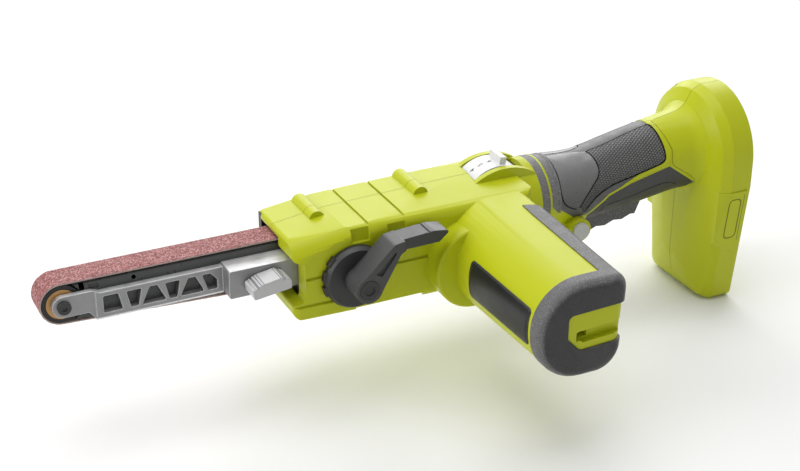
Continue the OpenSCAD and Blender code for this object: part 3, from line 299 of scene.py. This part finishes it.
finishes = {
    "lime_plastic": moulded("lime_plastic", (0.50, 0.545, 0.010), 0.34, (0.60, 0.64, 0.06), specular=0.24),
    "black_plastic": moulded("black_plastic", (0.020, 0.020, 0.021), 0.42, (0.12, 0.12, 0.12)),
    "dark_plastic": moulded("dark_plastic", (0.066, 0.067, 0.068), 0.34, (0.18, 0.18, 0.18), specular=0.32),
    "pale_plastic": moulded("pale_plastic", (0.54, 0.54, 0.545), 0.4, (0.7, 0.7, 0.7), depth=0.01, specular=0.4),
    "grip_rubber": rubber("grip_rubber", (0.078, 0.077, 0.079), 0.44, 0.42, 0.04, 0.3, specular=0.5),
    "roller_rubber": rubber("roller_rubber", (0.016, 0.016, 0.016), 0.55, 0.4, 0.03, 0.05),
    "steel": metal("steel", (0.56, 0.56, 0.57), 0.3),
    "black_steel": metal("black_steel", (0.05, 0.053, 0.052), 0.32, 0.3, shine=0.3),
    "cast_alloy": metal("cast_alloy", (0.28, 0.28, 0.285), 0.42, 0.8, 0.5, 0.03, shine=0.55, corner=0.7,
                        painted_top_tint=(0.62, 0.62, 0.625)),
    "hub_bronze": metal("hub_bronze", (0.50, 0.27, 0.09), 0.45, 0.3, 0.35, 0.03, shine=0.35),
    "motor_steel": metal("motor_steel", (0.42, 0.42, 0.43), 0.35, 0.4, 0.5, 0.01),
    "iron_core": metal("iron_core", (0.11, 0.10, 0.10), 0.5, 0.3, 0.3, 0.05, stretch=(1, 8, 1)),
    "circuit_board": moulded("circuit_board", (0.02, 0.14, 0.045), 0.4, (0.05, 0.25, 0.1)),
    "abrasive_cloth": grit(),
}
smooth_rubber = rubber("smooth_grip", (0.05, 0.05, 0.052), 0.3, 0.35, 0.008, 0.04, specular=0.7,
                       painted_top_light=(0.19, 0.19, 0.192))
# painted shade on the bumper's faces towards -y
bumper_rubber = rubber("bumper_rubber", (0.105, 0.104, 0.106), 0.5, 0.62, 0.07, 0.4, shaded_side=(0, -1, 0))
band_rubber = rubber("band_rubber", (0.14, 0.138, 0.141), 0.5, 0.62, 0.07, 0.4)
lower_rubber = rubber("lower_rubber", (0.046, 0.046, 0.048), 0.46, 0.4, 0.03, 0.1)
trigger_rubber = rubber("trigger_stipple", (0.075, 0.075, 0.077), 0.4, 0.8, 0.12, 0.5)
axle_steel = metal("axle_steel", (0.035, 0.036, 0.036), 0.28, 0.5, shine=0.4)
strip_steel = metal("strip_steel", (0.78, 0.78, 0.79), 0.32, 0.5, 0.4, 0.01, shine=0.6)
# darker lime for painted shade in seams, creases and the frame's outline
seam_shade = moulded("seam_shade", (0.19, 0.21, 0.004), 0.5, (0.25, 0.28, 0.01), specular=0.2)
knob_shade = moulded("knob_shade", (0.16, 0.16, 0.165), 0.5, (0.25, 0.25, 0.25), specular=0.2)
groove_floor = shadow_gap()
twill = weave()
badge_face = moulded("badge_face", (0.014, 0.014, 0.015), 0.33, (0.16, 0.16, 0.16), 0.3, 0.006, specular=0.3)
dial_face = moulded("dial_face", (0.76, 0.76, 0.77), 0.36, (0.86, 0.86, 0.86), depth=0.008)
mark_ink = moulded("mark_ink", (0.035, 0.035, 0.04), 0.5, (0.1, 0.1, 0.1))

slot_of = {n: o.data.materials[0].name for n, o in nodes.items()}
own_finish = {"motor_bumper": bumper_rubber, "neck_band": band_rubber, "lower_grip": lower_rubber,
              "speed_dial": dial_face, "trigger": trigger_rubber, "nose_axle": axle_steel,
              "lower_platen": strip_steel}
for n, o in nodes.items():
    o.data.materials.clear()
    o.data.materials.append(own_finish.get(n) or finishes[slot_of[n]])


# Smooth shading of the lofted CAD nodes

def smooth_group(join=0.01, sharp=30):
    """Modifier group: vertices within join mm made one, smooth faces, edges over sharp degrees kept."""
    g = bpy.data.node_groups.new("smooth_by_angle", "GeometryNodeTree")
    g.interface.new_socket("Geometry", in_out="INPUT", socket_type="NodeSocketGeometry")
    g.interface.new_socket("Geometry", in_out="OUTPUT", socket_type="NodeSocketGeometry")
    add, link = g.nodes.new, g.links.new
    start, end = add("NodeGroupInput"), add("NodeGroupOutput")
    merge = add("GeometryNodeMergeByDistance")
    merge.inputs["Distance"].default_value = join * MM
    bare = add("GeometryNodeRemoveAttribute")
    bare.inputs["Name"].default_value = "custom_normal"
    faces = add("GeometryNodeSetShadeSmooth")
    edges = add("GeometryNodeSetShadeSmooth")
    edges.domain = "EDGE"
    angle = add("GeometryNodeInputMeshEdgeAngle")
    flat = add("FunctionNodeCompare")
    flat.operation = "LESS_THAN"
    flat.inputs[1].default_value = math.radians(sharp)
    link(start.outputs[0], merge.inputs["Geometry"])
    link(merge.outputs[0], bare.inputs[0])
    link(bare.outputs[0], faces.inputs[0])
    link(faces.outputs[0], edges.inputs[0])
    link(angle.outputs["Unsigned Angle"], flat.inputs[0])
    link(flat.outputs[0], edges.inputs["Shade Smooth"])
    link(edges.outputs[0], end.inputs[0])
    return g


LOFTED = ("left_housing", "right_housing", "upper_grip", "lower_grip", "neck_band", "motor_bumper", "vent_cover",
          "trigger", "tension_lever", "tracking_knob", "arm_frame", "belt_cover")
shading = smooth_group()
for n in LOFTED:
    nodes[n].modifiers.new("smooth", "NODES").node_group = shading
    even = nodes[n].modifiers.new("even", "WEIGHTED_NORMAL")
    even.keep_sharp = True
    even.weight = 60


# Making pieces

def put_in(name, me, mats, body, smooth=True):
    """Puts a mesh in the scene as a piece of a body."""
    for m in mats:
        me.materials.append(m)
    me.polygons.foreach_set("use_smooth", [smooth] * len(me.polygons))
    o = bpy.data.objects.new(name, me)
    bpy.context.scene.collection.objects.link(o)
    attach(o, body)
    return o


def mesh_piece(name, verts, faces, mats, body, face_mats=None, smooth=True):
    me = bpy.data.meshes.new(name)
    me.from_pydata(verts, [], faces)
    o = put_in(name, me, mats, body, smooth)
    if face_mats:
        me.polygons.foreach_set("material_index", face_mats)
    return o


def tree_of(node):
    """The CAD node's faces, for rays."""
    me = nodes[node].data
    return BVHTree.FromPolygons([v.co for v in me.vertices], [p.vertices for p in me.polygons])


class Wrap:
    """Flat drawings wrapped round a bar: along is mm on the bar, round is degrees about it, 0 at the top."""

    REACH = 0.07  # rays start this many metres from the axis, outside every piece
    GRID = (0.5, 2)  # mm and degrees between the points whose radius is kept
    ABOUT = [(da, dd) for da in (-1.5, 0, 1.5) for dd in (-6, -3, 0, 3, 6)]
    SPARE = 0.02  # radius where no ray meets the piece

    def __init__(self, centre, side, node):
        self.centre, self.side = centre, side
        self.tree = tree_of(node)
        self.kept = {}

    def outward(self, deg):
        t = math.radians(deg)
        return self.side * math.sin(t) + UP * math.cos(t)

    def radius(self, a, deg):
        out, c = self.outward(deg), self.centre(a)
        hit = self.tree.ray_cast(c + out * self.REACH, -out, self.REACH)[0]
        return None if hit is None else (hit - c).length

    def even_radius(self, a, deg):
        """The radius averaged over the facets about a point, so that the wrapped piece is rounder than they are."""
        key = (round(a / self.GRID[0]), round(deg / self.GRID[1]))
        if key not in self.kept:
            near = [self.radius(a + da, deg + dd) for da, dd in self.ABOUT]
            near = [r for r in near if r]
            self.kept[key] = sum(near) / len(near) if near else self.SPARE
        return self.kept[key]

    def point(self, a, deg, lift):
        """The point lift mm off the piece, from the radii at the four grid points about it."""
        da, dd = self.GRID
        a0, d0 = math.floor(a / da) * da, math.floor(deg / dd) * dd
        fa, fd = (a - a0) / da, (deg - d0) / dd
        r = 0.0
        for at, wa in ((a0, 1 - fa), (a0 + da, fa)):
            for turned, wd in ((d0, 1 - fd), (d0 + dd, fd)):
                r += wa * wd * self.even_radius(at, turned)
        return self.centre(a) + self.outward(deg) * (r + lift * MM)


HANDLE_ARC, BARREL_ARC = 0.35, 0.43  # mm round the handle and the motor barrel for each degree


def plate(name, wrap, outline, lift, sink, mat, step=(1.5, 5.0), mirror=False, arc=HANDLE_ARC):
    """A thin plate of the housing, cut from a flat outline [(along, degrees)] and wrapped onto its bar.

    It stands lift mm off the bar, and its rim goes sink mm under it.
    """
    bm = bmesh.new()
    pts = [(a, -d if mirror else d) for a, d in outline]
    bm.faces.new([bm.verts.new((a, d, 0)) for a, d in pts])
    for axis, size in ((0, step[0]), (1, step[1])):
        places = [p[axis] for p in pts]
        cut = math.ceil(min(places) / size) * size
        normal = (1, 0, 0) if axis == 0 else (0, 1, 0)
        while cut < max(places):
            bmesh.ops.bisect_plane(bm, geom=bm.verts[:] + bm.edges[:] + bm.faces[:], dist=1e-5,
                                   plane_co=tuple(cut * v for v in normal), plane_no=normal)
            cut += size
    bmesh.ops.triangulate(bm, faces=[f for f in bm.faces if len(f.verts) > 4])
    top = bm.faces[:]
    rim = [e for e in bm.edges if e.is_boundary]
    made = bmesh.ops.extrude_edge_only(bm, edges=rim)["geom"]
    low = {v for v in made if isinstance(v, bmesh.types.BMVert)}
    uv = bm.loops.layers.uv.new("flat")
    for f in bm.faces:
        for loop in f.loops:
            loop[uv].uv = (loop.vert.co.x, loop.vert.co.y * arc)
    for v in bm.verts:
        v.co = wrap.point(v.co.x, v.co.y, -sink if v in low else lift)
    bmesh.ops.recalc_face_normals(bm, faces=bm.faces[:])
    facing_out = sum(f.normal.dot(f.calc_center_median() - wrap.centre(outline[0][0])) for f in top)
    if facing_out < 0:
        bmesh.ops.reverse_faces(bm, faces=bm.faces[:])
    me = bpy.data.meshes.new(name)
    bm.to_mesh(me)
    bm.free()
    soft = put_in(name, me, [mat], "housing").modifiers.new("corner", "BEVEL")
    soft.width = 0.08 * MM
    soft.segments = 2
    soft.limit_method = "ANGLE"
    soft.angle_limit = math.radians(50)


def spline(points, count=8):
    """A smooth curve through the points."""
    out = []
    for i in range(len(points) - 1):
        p0, p1 = points[max(i - 1, 0)], points[i]
        p2, p3 = points[i + 1], points[min(i + 2, len(points) - 1)]
        for k in range(count):
            t = k / count
            out.append(tuple(0.5 * (2 * b + (c - a) * t + (2 * a - 5 * b + 4 * c - d) * t * t
                                    + (3 * b - a - 3 * c + d) * t ** 3)
                             for a, b, c, d in zip(p0, p1, p2, p3)))
    return out + [tuple(points[-1])]


def groove(name, wrap, points, width, mirror=False, lift=0.03):
    """A dark line of painted shade in a moulded groove, width mm along the points, which are (along, degrees)."""
    line = spline(points)
    left, right = [], []
    for i, (a, d) in enumerate(line):
        a0, d0 = line[max(i - 1, 0)]
        a1, d1 = line[min(i + 1, len(line) - 1)]
        run = Vector((a1 - a0, (d1 - d0) * HANDLE_ARC)).normalized()
        off = Vector((-run.y, run.x)) * width / 2
        left.append((a + off.x, d + off.y / HANDLE_ARC))
        right.append((a - off.x, d - off.y / HANDLE_ARC))
    s = -1 if mirror else 1
    verts = [wrap.point(a, s * d, lift) for a, d in left] + [wrap.point(a, s * d, lift) for a, d in right]
    n = len(line)
    faces = [(i, i + 1, n + i + 1, n + i) for i in range(n - 1)]
    mesh_piece(name, verts, faces, [groove_floor], "housing")


# Sanding belt: the CAD loop again, finely cut, with its grit and its frayed edges

def belt(arc_steps=80, run_steps=420, across=36, thick=1.0 * MM):
    grain = ((1900, 0.10), (900, 0.06))  # spots in a metre, and how many mm each stands up
    sunk, rim_sunk = 0.12, 0.12  # mm that the grit lies under the CAD loop, and its cut edges further
    fray_spots, fray = 700, 0.16 * MM
    nose, drive, loop = [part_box(n) for n in ("nose_tyre", "drive_tyre", "sanding_belt")]
    c1, c2 = [(b[0] + b[1]) / 2 for b in (nose, drive)]
    r1, r2 = c1.x - loop[0].x, loop[1].x - c2.x
    run = Vector((c2.x - c1.x, c2.z - c1.z))
    tilt = math.atan2(run.y, run.x)
    lean = math.asin((r2 - r1) / run.length)
    up, down = tilt + math.pi / 2 + lean, tilt - math.pi / 2 - lean

    def arc(c, r, a0, a1, n):
        return [(Vector((c.x + r * math.cos(a0 + (a1 - a0) * i / n), c.z + r * math.sin(a0 + (a1 - a0) * i / n))),
                 a0 + (a1 - a0) * i / n) for i in range(n + 1)]

    def straight(p, q, angle, n):
        return [(p + (q - p) * i / n, angle) for i in range(1, n)]

    front = arc(c1, r1, up, down + 2 * math.pi, arc_steps)
    back = arc(c2, r2, down, up, arc_steps)
    path = (front + straight(front[-1][0], back[0][0], down, run_steps)
            + back + straight(back[-1][0], front[0][0], up, run_steps))
    width = loop[1].y - loop[0].y
    n = len(path)
    verts, faces, mats = [], [], []
    for i, (p, angle) in enumerate(path):
        out = Vector((math.cos(angle), 0, math.sin(angle)))
        for j in range(across + 1):
            y = loop[0].y + width * j / across
            at = Vector((p.x, y, p.y))
            rough = sum(noise.noise(at * spots) * tall for spots, tall in grain) - sunk
            if j in (0, across):
                frayed = noise.noise(Vector((p.x, y * 0.2, p.y)) * fray_spots) * fray
                at.y += frayed if j else -frayed
                rough -= rim_sunk
            verts.append(at + out * rough * MM)
    rows = across + 1
    base = len(verts)
    for i, (p, angle) in enumerate(path):
        out = Vector((math.cos(angle), 0, math.sin(angle)))
        for j in (0, across):
            y = loop[0].y + width * j / across
            verts.append(Vector((p.x, y, p.y)) - out * thick)
    for i in range(n):
        k = (i + 1) % n
        for j in range(across):
            faces.append((i * rows + j, i * rows + j + 1, k * rows + j + 1, k * rows + j))
            mats.append(0)
        faces.append((base + 2 * i, i * rows, k * rows, base + 2 * k))
        faces.append((i * rows + across, base + 2 * i + 1, base + 2 * k + 1, k * rows + across))
        faces.append((base + 2 * i + 1, base + 2 * i, base + 2 * k, base + 2 * k + 1))
        mats += [1, 1, 1]
    o = mesh_piece("grit_belt", verts, faces, [finishes["abrasive_cloth"], backing()], "housing",
                   mats)
    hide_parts("sanding_belt")


belt()


# Grip panels and their moulded lines, the housing's lip round them, and the neck

AXIS = ((-113, -10), (-40, 0))  # x and z of two points on the handle's axis, in mm


def handle_axis(a):
    (x0, z0), (x1, z1) = AXIS
    return Vector((a, 0, z0 + (a - x0) * (z1 - z0) / (x1 - x0))) * MM


def on_handle(node):
    return Wrap(handle_axis, Vector((0, -1, 0)), node)


upper, lower, neck = [on_handle(n) for n in ("upper_grip", "lower_grip", "neck_band")]
lime = finishes["lime_plastic"]

# Lines on the handle's left side, each point as mm along x and degrees from the top. The twill panel lies between
# waist, sole, tail and crest, and the smooth one between collar_line, chin, waist and brow.
waist = [(-89.2, 12), (-88.0, 20), (-87.2, 30), (-86.8, 41), (-86.7, 52), (-88.2, 63), (-92.0, 75), (-97.0, 90),
         (-100.5, 104)]
sole = [(-96.6, 117), (-94.0, 108), (-91.0, 99), (-86.6, 91.5), (-81.0, 86), (-75.0, 83.5), (-65.0, 81.5),
        (-54.9, 79), (-48.6, 76.5)]
tail = [(-46.4, 72), (-46.1, 64), (-46.3, 53), (-46.9, 39), (-47.6, 22), (-48.4, 9)]
crest = [(-50.5, 6.5), (-56.0, 7), (-64.3, 8.5), (-77.3, 11.5)]
far_crest = [(-50.5, 31), (-60.0, 29), (-77.3, 29.5)]  # lower on the right side, so that the crown stays plain
collar_line = [(-113.0, 3), (-112.9, 16), (-112.8, 29), (-112.8, 42), (-112.9, 54), (-112.9, 64), (-112.6, 72)]
chin = [(-112.6, 72), (-111.2, 84), (-107.4, 95), (-102.4, 105)]
brow = [(-96, 4), (-104, 2.5)]
low_line = [(-86.4, 139), (-83.1, 125), (-79.4, 122), (-71.2, 122), (-61.2, 120), (-53.2, 117), (-47.2, 116),
            (-41.8, 119), (-36.3, 128)]
lip_edge = [(-45.5, 0), (-45.3, 12), (-44.8, 24), (-44.0, 34), (-43.1, 46), (-42.1, 56), (-41.8, 60), (-42.3, 66),
            (-43.0, 74), (-43.6, 80), (-44.2, 83.4), (-50.0, 85.2), (-55.0, 86.6), (-60.0, 88.2), (-65.0, 90.2),
            (-70.0, 92.2), (-74.0, 95)]
lip_taper = [(-74.0, 94.6), (-71.0, 90.6), (-67.0, 86.2), (-63.0, 82.6), (-60.0, 80.6)]
lip_top = (-48.5, 0)
smooth_lift, twill_lift, lip_lift = 0.2, 0.28, 0.36  # mm off the rubber
root = 0.3  # mm that the rim of a plate goes under
line_over, edge_over = 0.04, 0.06  # mm that a dark line stands over the plates beside it

for side, flip, skip, top in (("left", False, 0, crest), ("right", True, 2, far_crest)):
    front, rear = waist[skip:], tail[:len(tail) - skip]
    twill_outline = spline(front, 4) + spline(sole, 4) + spline(rear, 4) + top
    smooth_outline = spline(collar_line, 3) + chin[1:-1] + spline(waist, 4)[::-1] + brow
    lip_outline = spline(lip_taper + sole[7:] + tail, 4) + [lip_top] + lip_edge
    plate("twill_panel_" + side, upper, twill_outline, twill_lift, root, twill, mirror=flip)
    plate("front_panel_" + side, upper, smooth_outline, smooth_lift, root, smooth_rubber, mirror=flip)
    groove("waist_line_" + side, upper, waist, 0.6, flip, twill_lift + line_over)
    groove("low_line_" + side, lower, low_line, 0.4, flip, 0.05)
    groove("panel_edge_" + side, upper, sole + rear + top[:1], 0.75, flip, lip_lift + edge_over)
    groove("collar_line_" + side, upper, collar_line + chin[1:], 0.55, flip, smooth_lift + edge_over)
    plate("grip_lip_" + side, upper, lip_outline, lip_lift, root + 0.1, lime, mirror=flip)
groove("crest_line_left", upper, crest + waist[:1], 0.4, lift=twill_lift + line_over)

# A lime line divides the neck's dark band. Its rear half runs on into the grip's collar, and is lime underneath.
line_front, line_rear, band_rear, collar_front = -120.2, -119.0, -114.3, -113.1
chin_front, chin_rear = 82, 97
under_line, over_band = line_rear - 0.3, band_rear - 0.4
line_lift, under_lift, bridge_lift = 0.16, 0.12, 0.02
plate("neck_line", neck, [(line_front, -180), (line_rear, -180), (line_rear, 180), (line_front, 180)],
      line_lift, root, lime)
plate("neck_underside", neck, [(under_line, chin_front), (band_rear, chin_rear), (band_rear, 360 - chin_rear),
                               (under_line, 360 - chin_front)], under_lift, root, lime)
plate("collar_bridge", neck, [(over_band, -chin_rear), (collar_front, -chin_rear), (collar_front, chin_rear),
                              (over_band, chin_rear)], bridge_lift, root, band_rubber)


# Thin dark lines of painted shade: the parting line of the two halves, the line round the lip, and the knob's finger
# lines

halves = tree_of("left_housing")


def ribbon(name, path, width, mat, lift=0.02, body="housing"):
    """A thin strip of width mm along the path, which holds points on a surface with their normals."""
    verts, faces = [], []
    for i, (at, normal) in enumerate(path):
        run = path[min(i + 1, len(path) - 1)][0] - path[max(i - 1, 0)][0]
        off = run.cross(normal).normalized() * width / 2 * MM
        verts += [at + off + normal * lift * MM, at - off + normal * lift * MM]
    for i in range(len(path) - 1):
        faces.append((2 * i, 2 * i + 1, 2 * i + 3, 2 * i + 2))
    mesh_piece(name, verts, faces, [mat], body)


def cast(start, toward):
    """The first point of the left half that a ray from start meets, with its normal."""
    at, normal = halves.ray_cast(Vector(start) * MM, Vector(toward))[:2]
    return (at, normal) if at else None


def run_of(points, toward, jump=4):
    """Hits of a row of parallel rays, brought onto the middle plane and cut where the surface jumps."""
    runs, last = [[]], None
    for hit in [cast(p, toward) for p in points]:
        if hit and last and (hit[0] - last[0]).length > jump * MM:
            runs.append([])
        if hit:
            runs[-1].append((Vector((hit[0].x, 0, hit[0].z)), hit[1]))
        last = hit
    return [r for r in runs if len(r) > 1]


def seams(step=0.4, foot_step=0.6, beside=-0.12, width=0.32):
    """Painted shade along the parting line: along the roof up to the dial, behind the grip, and down the front of the
    foot.
    """
    above, ahead, rearward = 60, -60, (1, 0, 0)
    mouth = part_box("left_housing")[0].x / MM
    dial = (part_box("speed_dial")[0].x + 9 * MM) / MM
    grip_rear, foot_top = -43, -24
    rear_count, foot_count = 106, 90
    rows = {
        "roof_seam": ([(mouth + step * k, beside, above) for k in range(int((dial - mouth) / step))], DOWN),
        "rear_seam": ([(grip_rear + step * k, beside, above) for k in range(rear_count)], DOWN),
        "foot_seam": ([(ahead, beside, foot_top - foot_step * k) for k in range(foot_count)], rearward),
    }
    for name, (points, toward) in rows.items():
        for k, run in enumerate(run_of(points, toward)):
            ribbon("%s_%d" % (name, k), run, width, seam_shade)


def rim_line(start=60):
    """Painted shade in the fine line outside the lime lip: down the rear of the upper grip and round the lower one's
    tip.
    """
    rim = [(-45.2, 2), (-44.9, 14), (-44.4, 26), (-43.5, 38), (-42.4, 50), (-41.5, 60), (-41.6, 70), (-41.8, 80),
           (-40.6, 88), (-35.8, 100), (-30.2, 113), (-25.6, 125), (-24.6, 131), (-25.2, 138)]
    path = []
    for a, d in spline(rim, 6):
        out = upper.outward(d)
        path.append(cast(handle_axis(a) / MM + out * start, -out))
    ribbon("rim_line", [p for p in path if p], 0.36, seam_shade, 0.04)


def knob_lines(count=3, first=3.2, pitch=1.35, points=40):
    """Painted shade of the finger lines across the top of the knob, count at each end."""
    low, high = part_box("tracking_knob")
    top = tree_of("tracking_knob")
    rows = [low.y + (high.y - low.y) * i / points for i in range(points + 1)]
    for end, start, step in (("front", low.x, 1), ("rear", high.x, -1)):
        for k in range(count):
            x = start + step * (first + pitch * k) * MM
            hits = [top.ray_cast(Vector((x, y, high.z + 10 * MM)), DOWN)[:2] for y in rows]
            run = [h for h in hits if h[0] and h[1].z > 0.6 and h[0].z > (low.z + high.z) / 2]
            ribbon("knob_%s_line_%d" % (end, k), run, 0.4, knob_shade, 0.03, "tracking_knob")


seams()
rim_line()
knob_lines()


# Bare badge plate on the motor barrel

def rounded(a0, a1, d0, d1, ra, rd, turns=6):
    """A box with rounded corners, which may be in mm one way and degrees the other."""
    out = []
    for ca, cd, start in ((a1 - ra, d1 - rd, 0), (a0 + ra, d1 - rd, 90), (a0 + ra, d0 + rd, 180),
                          (a1 - ra, d0 + rd, 270)):
        for k in range(turns + 1):
            t = math.radians(start + 90 / turns * k)
            out.append((ca + ra * math.cos(t), cd + rd * math.sin(t)))
    return out


motor = sum(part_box("motor_can"), Vector()) / 2
barrel = Wrap(lambda a: Vector((motor.x, a * MM, motor.z)), Vector((-1, 0, 0)), "left_housing")
badge_strips = (3, 4)
plate("badge_rim", barrel, rounded(-114.3, -57.4, 60.5, 107.5, 2.6, 6), 0.35, 0.3, finishes["black_plastic"],
      badge_strips, arc=BARREL_ARC)
plate("badge_plate", barrel, rounded(-113.3, -58.4, 62.5, 105.5, 2.0, 4.6), 0.5, 0.1, badge_face,
      badge_strips, arc=BARREL_ARC)


# Painted shade lines of the bare frame pressed into the pad on the foot's left flank, and of the crease behind it

def foot_frame(front=-13.1, rear=-5.3, top=-19.5, bottom=-44.5, corner=2.8, crease_gap=1.8):
    def flank(x, z):
        return cast((x, -150, z), (0, 1, 0))

    ring = rounded(front, rear, bottom, top, corner, corner)
    ribbon("foot_frame", [flank(x, z) for x, z in ring + ring[:2]], 0.85, seam_shade, 0.03)
    crease = [flank(rear + crease_gap, top + 2.5 - 1.5 * k) for k in range(21)]
    ribbon("foot_crease", crease, 0.4, seam_shade, 0.03)


foot_frame()


# Plain numerals printed round the speed dial, ahead of its thumb rib

joints = {j["name"]: j for j in frame["record"]["behaviour"]["joints"]}


def numerals(count=6, size=4.2, first=-74, pitch=14):
    """Flat numerals bent about the dial's axis, from first degrees on."""
    hub = Vector(joints["dial_turn"]["pos_m"])
    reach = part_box("speed_dial")[1].x - hub.x + 0.05 * MM
    for k in range(count):
        text = bpy.data.curves.new("numeral", "FONT")
        text.body = str(k + 1)
        text.size = size * MM
        text.align_x = "CENTER"
        text.align_y = "CENTER"
        text.extrude = 0.03 * MM
        drawn = bpy.data.objects.new("numeral", text)
        flat = drawn.to_mesh()
        middle = math.radians(first + pitch * k)
        verts = []
        for v in flat.vertices:
            lean, out = middle - v.co.y / reach, reach + v.co.z
            verts.append(hub + Vector((math.sin(lean) * out, v.co.x, math.cos(lean) * out)))
        faces = [tuple(f.vertices) for f in flat.polygons]
        mesh_piece("dial_number_%d" % (k + 1), verts, faces, [mark_ink], "speed_dial", smooth=False)
        drawn.to_mesh_clear()
        bpy.data.objects.remove(drawn)


numerals()


# Tension spring: one round wire wound in the CAD spring's place

def coil(turns=8, per_turn=36, sides=10, wire=0.45 * MM):
    low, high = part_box("tension_spring")
    middle = (low + high) / 2
    radius = (high.y - low.y) / 2 - wire
    length = high.x - low.x - 2 * wire
    steps = turns * per_turn
    verts, faces = [], []
    for k in range(steps + 1):
        turned = 2 * math.pi * k / per_turn
        out = Vector((0, math.cos(turned), math.sin(turned)))
        at = Vector((low.x + wire + length * k / steps, middle.y, middle.z)) + out * radius
        for n in range(sides):
            a = 2 * math.pi * n / sides
            verts.append(at + (out * math.cos(a) + Vector((1, 0, 0)) * math.sin(a)) * wire)
    for k in range(steps):
        for n in range(sides):
            a, b = k * sides + n, k * sides + (n + 1) % sides
            faces.append((a, b, b + sides, a + sides))
    faces += [tuple(range(sides))[::-1], tuple(steps * sides + n for n in range(sides))]
    o = mesh_piece("spring_wire", verts, faces, [finishes["steel"]], "housing")
    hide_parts("tension_spring")
    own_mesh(o)


coil()


# Studio: pale floor, soft light, white surroundings

def seen_rays(tree):
    """1 for the rays that see the surroundings as they are: straight, mirrored or through glass."""
    rays = tree.nodes.new("ShaderNodeLightPath").outputs
    seen = rays["Is Camera Ray"]
    for kind in ("Is Glossy Ray", "Is Transmission Ray"):
        either = tree.nodes.new("ShaderNodeMath")
        either.operation = "MAXIMUM"
        tree.links.new(seen, either.inputs[0])
        tree.links.new(rays[kind], either.inputs[1])
        seen = either.outputs[0]
    return seen


def studio(half=9, clear=0.3, white=0.8, fill=0.34):
    """A floor that fades to white from clear metres on, a fill from all round, and three lamps."""
    low = min(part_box(n)[0].z for n in nodes)
    aim = (-0.2, -0.03, 0)
    f = Finish("floor", (0.93, 0.93, 0.93), 0.7, specular=0.1)
    f.tint(f.span(f.noise(40, 3), 0.4, 0.7, 0, 0.05), (0.88, 0.88, 0.88))
    f.bump(f.noise(1.2, 2), 0.02)
    floor_mat = f.done()
    away = f.add("ShaderNodeVectorMath")
    away.operation = "DISTANCE"
    f.put(away.inputs[0], f.place)
    away.inputs[1].default_value = (-0.2, -0.05, low)
    fade = f.span(away.outputs["Value"], clear, white)
    shown = f.maths("MULTIPLY", fade, seen_rays(f.tree))
    blank = f.add("ShaderNodeEmission", Color=(1, 1, 1, 1), Strength=1.0)
    blend = f.add("ShaderNodeMixShader", Fac=shown)
    f.put(blend.inputs[1], f.bsdf.outputs[0])
    f.put(blend.inputs[2], blank.outputs[0])
    f.put(f.tree.nodes["Material Output"].inputs["Surface"], blend.outputs[0])
    me = bpy.data.meshes.new("floor")
    corners = [(-half, -half, low), (half, -half, low), (half, half, low), (-half, half, low)]
    me.from_pydata(corners, [], [(0, 1, 2, 3)])
    me.materials.append(floor_mat)
    floor = bpy.data.objects.new("floor", me)
    bpy.context.scene.collection.objects.link(floor)

    world = bpy.data.worlds.new("studio")
    bpy.context.scene.world = world
    world.use_nodes = True
    tree = world.node_tree
    back = tree.nodes["Background"]
    back.inputs["Color"].default_value = (1, 1, 1, 1)
    level = tree.nodes.new("ShaderNodeMapRange")
    level.inputs["To Min"].default_value = fill
    level.inputs["To Max"].default_value = 1.0
    tree.links.new(seen_rays(tree), level.inputs["Value"])
    tree.links.new(level.outputs["Result"], back.inputs["Strength"])

    def lamp(name, at, size, watts):
        data = bpy.data.lights.new(name, "AREA")
        data.shape = "RECTANGLE"
        data.size, data.size_y = size
        data.energy = watts
        o = bpy.data.objects.new(name, data)
        o.location = at
        o.rotation_euler = (Vector(aim) - Vector(at)).to_track_quat("-Z", "Y").to_euler()
        bpy.context.scene.collection.objects.link(o)

    lamp("overhead", (-0.25, 0.1, 1.3), (1.4, 1.0), 10.5)
    lamp("back_panel", (0.54, 1.5, 0.85), (2.4, 1.3), 24)
    lamp("left", (-1.65, 0.1, 0.6), (0.9, 0.9), 9.5)


studio()


# Camera, as fitted to the photo

camera = bpy.data.cameras.new("camera")
camera.sensor_fit = "HORIZONTAL"
camera.sensor_width = 36
camera.lens = 72
eye = bpy.data.objects.new("camera", camera)
bpy.context.scene.collection.objects.link(eye)
stand = (-0.528963, -0.6813, 0.3622)
right, up, back = (0.90032, -0.43523, 0), (0.19488, 0.40313, 0.89416), (-0.38916, -0.80502, 0.44776)
eye.matrix_world = Matrix.Translation(stand) @ Matrix((right, up, back)).transposed().to_4x4()
bpy.context.scene.camera = eye
bpy.context.scene.view_settings.view_transform = "Standard"
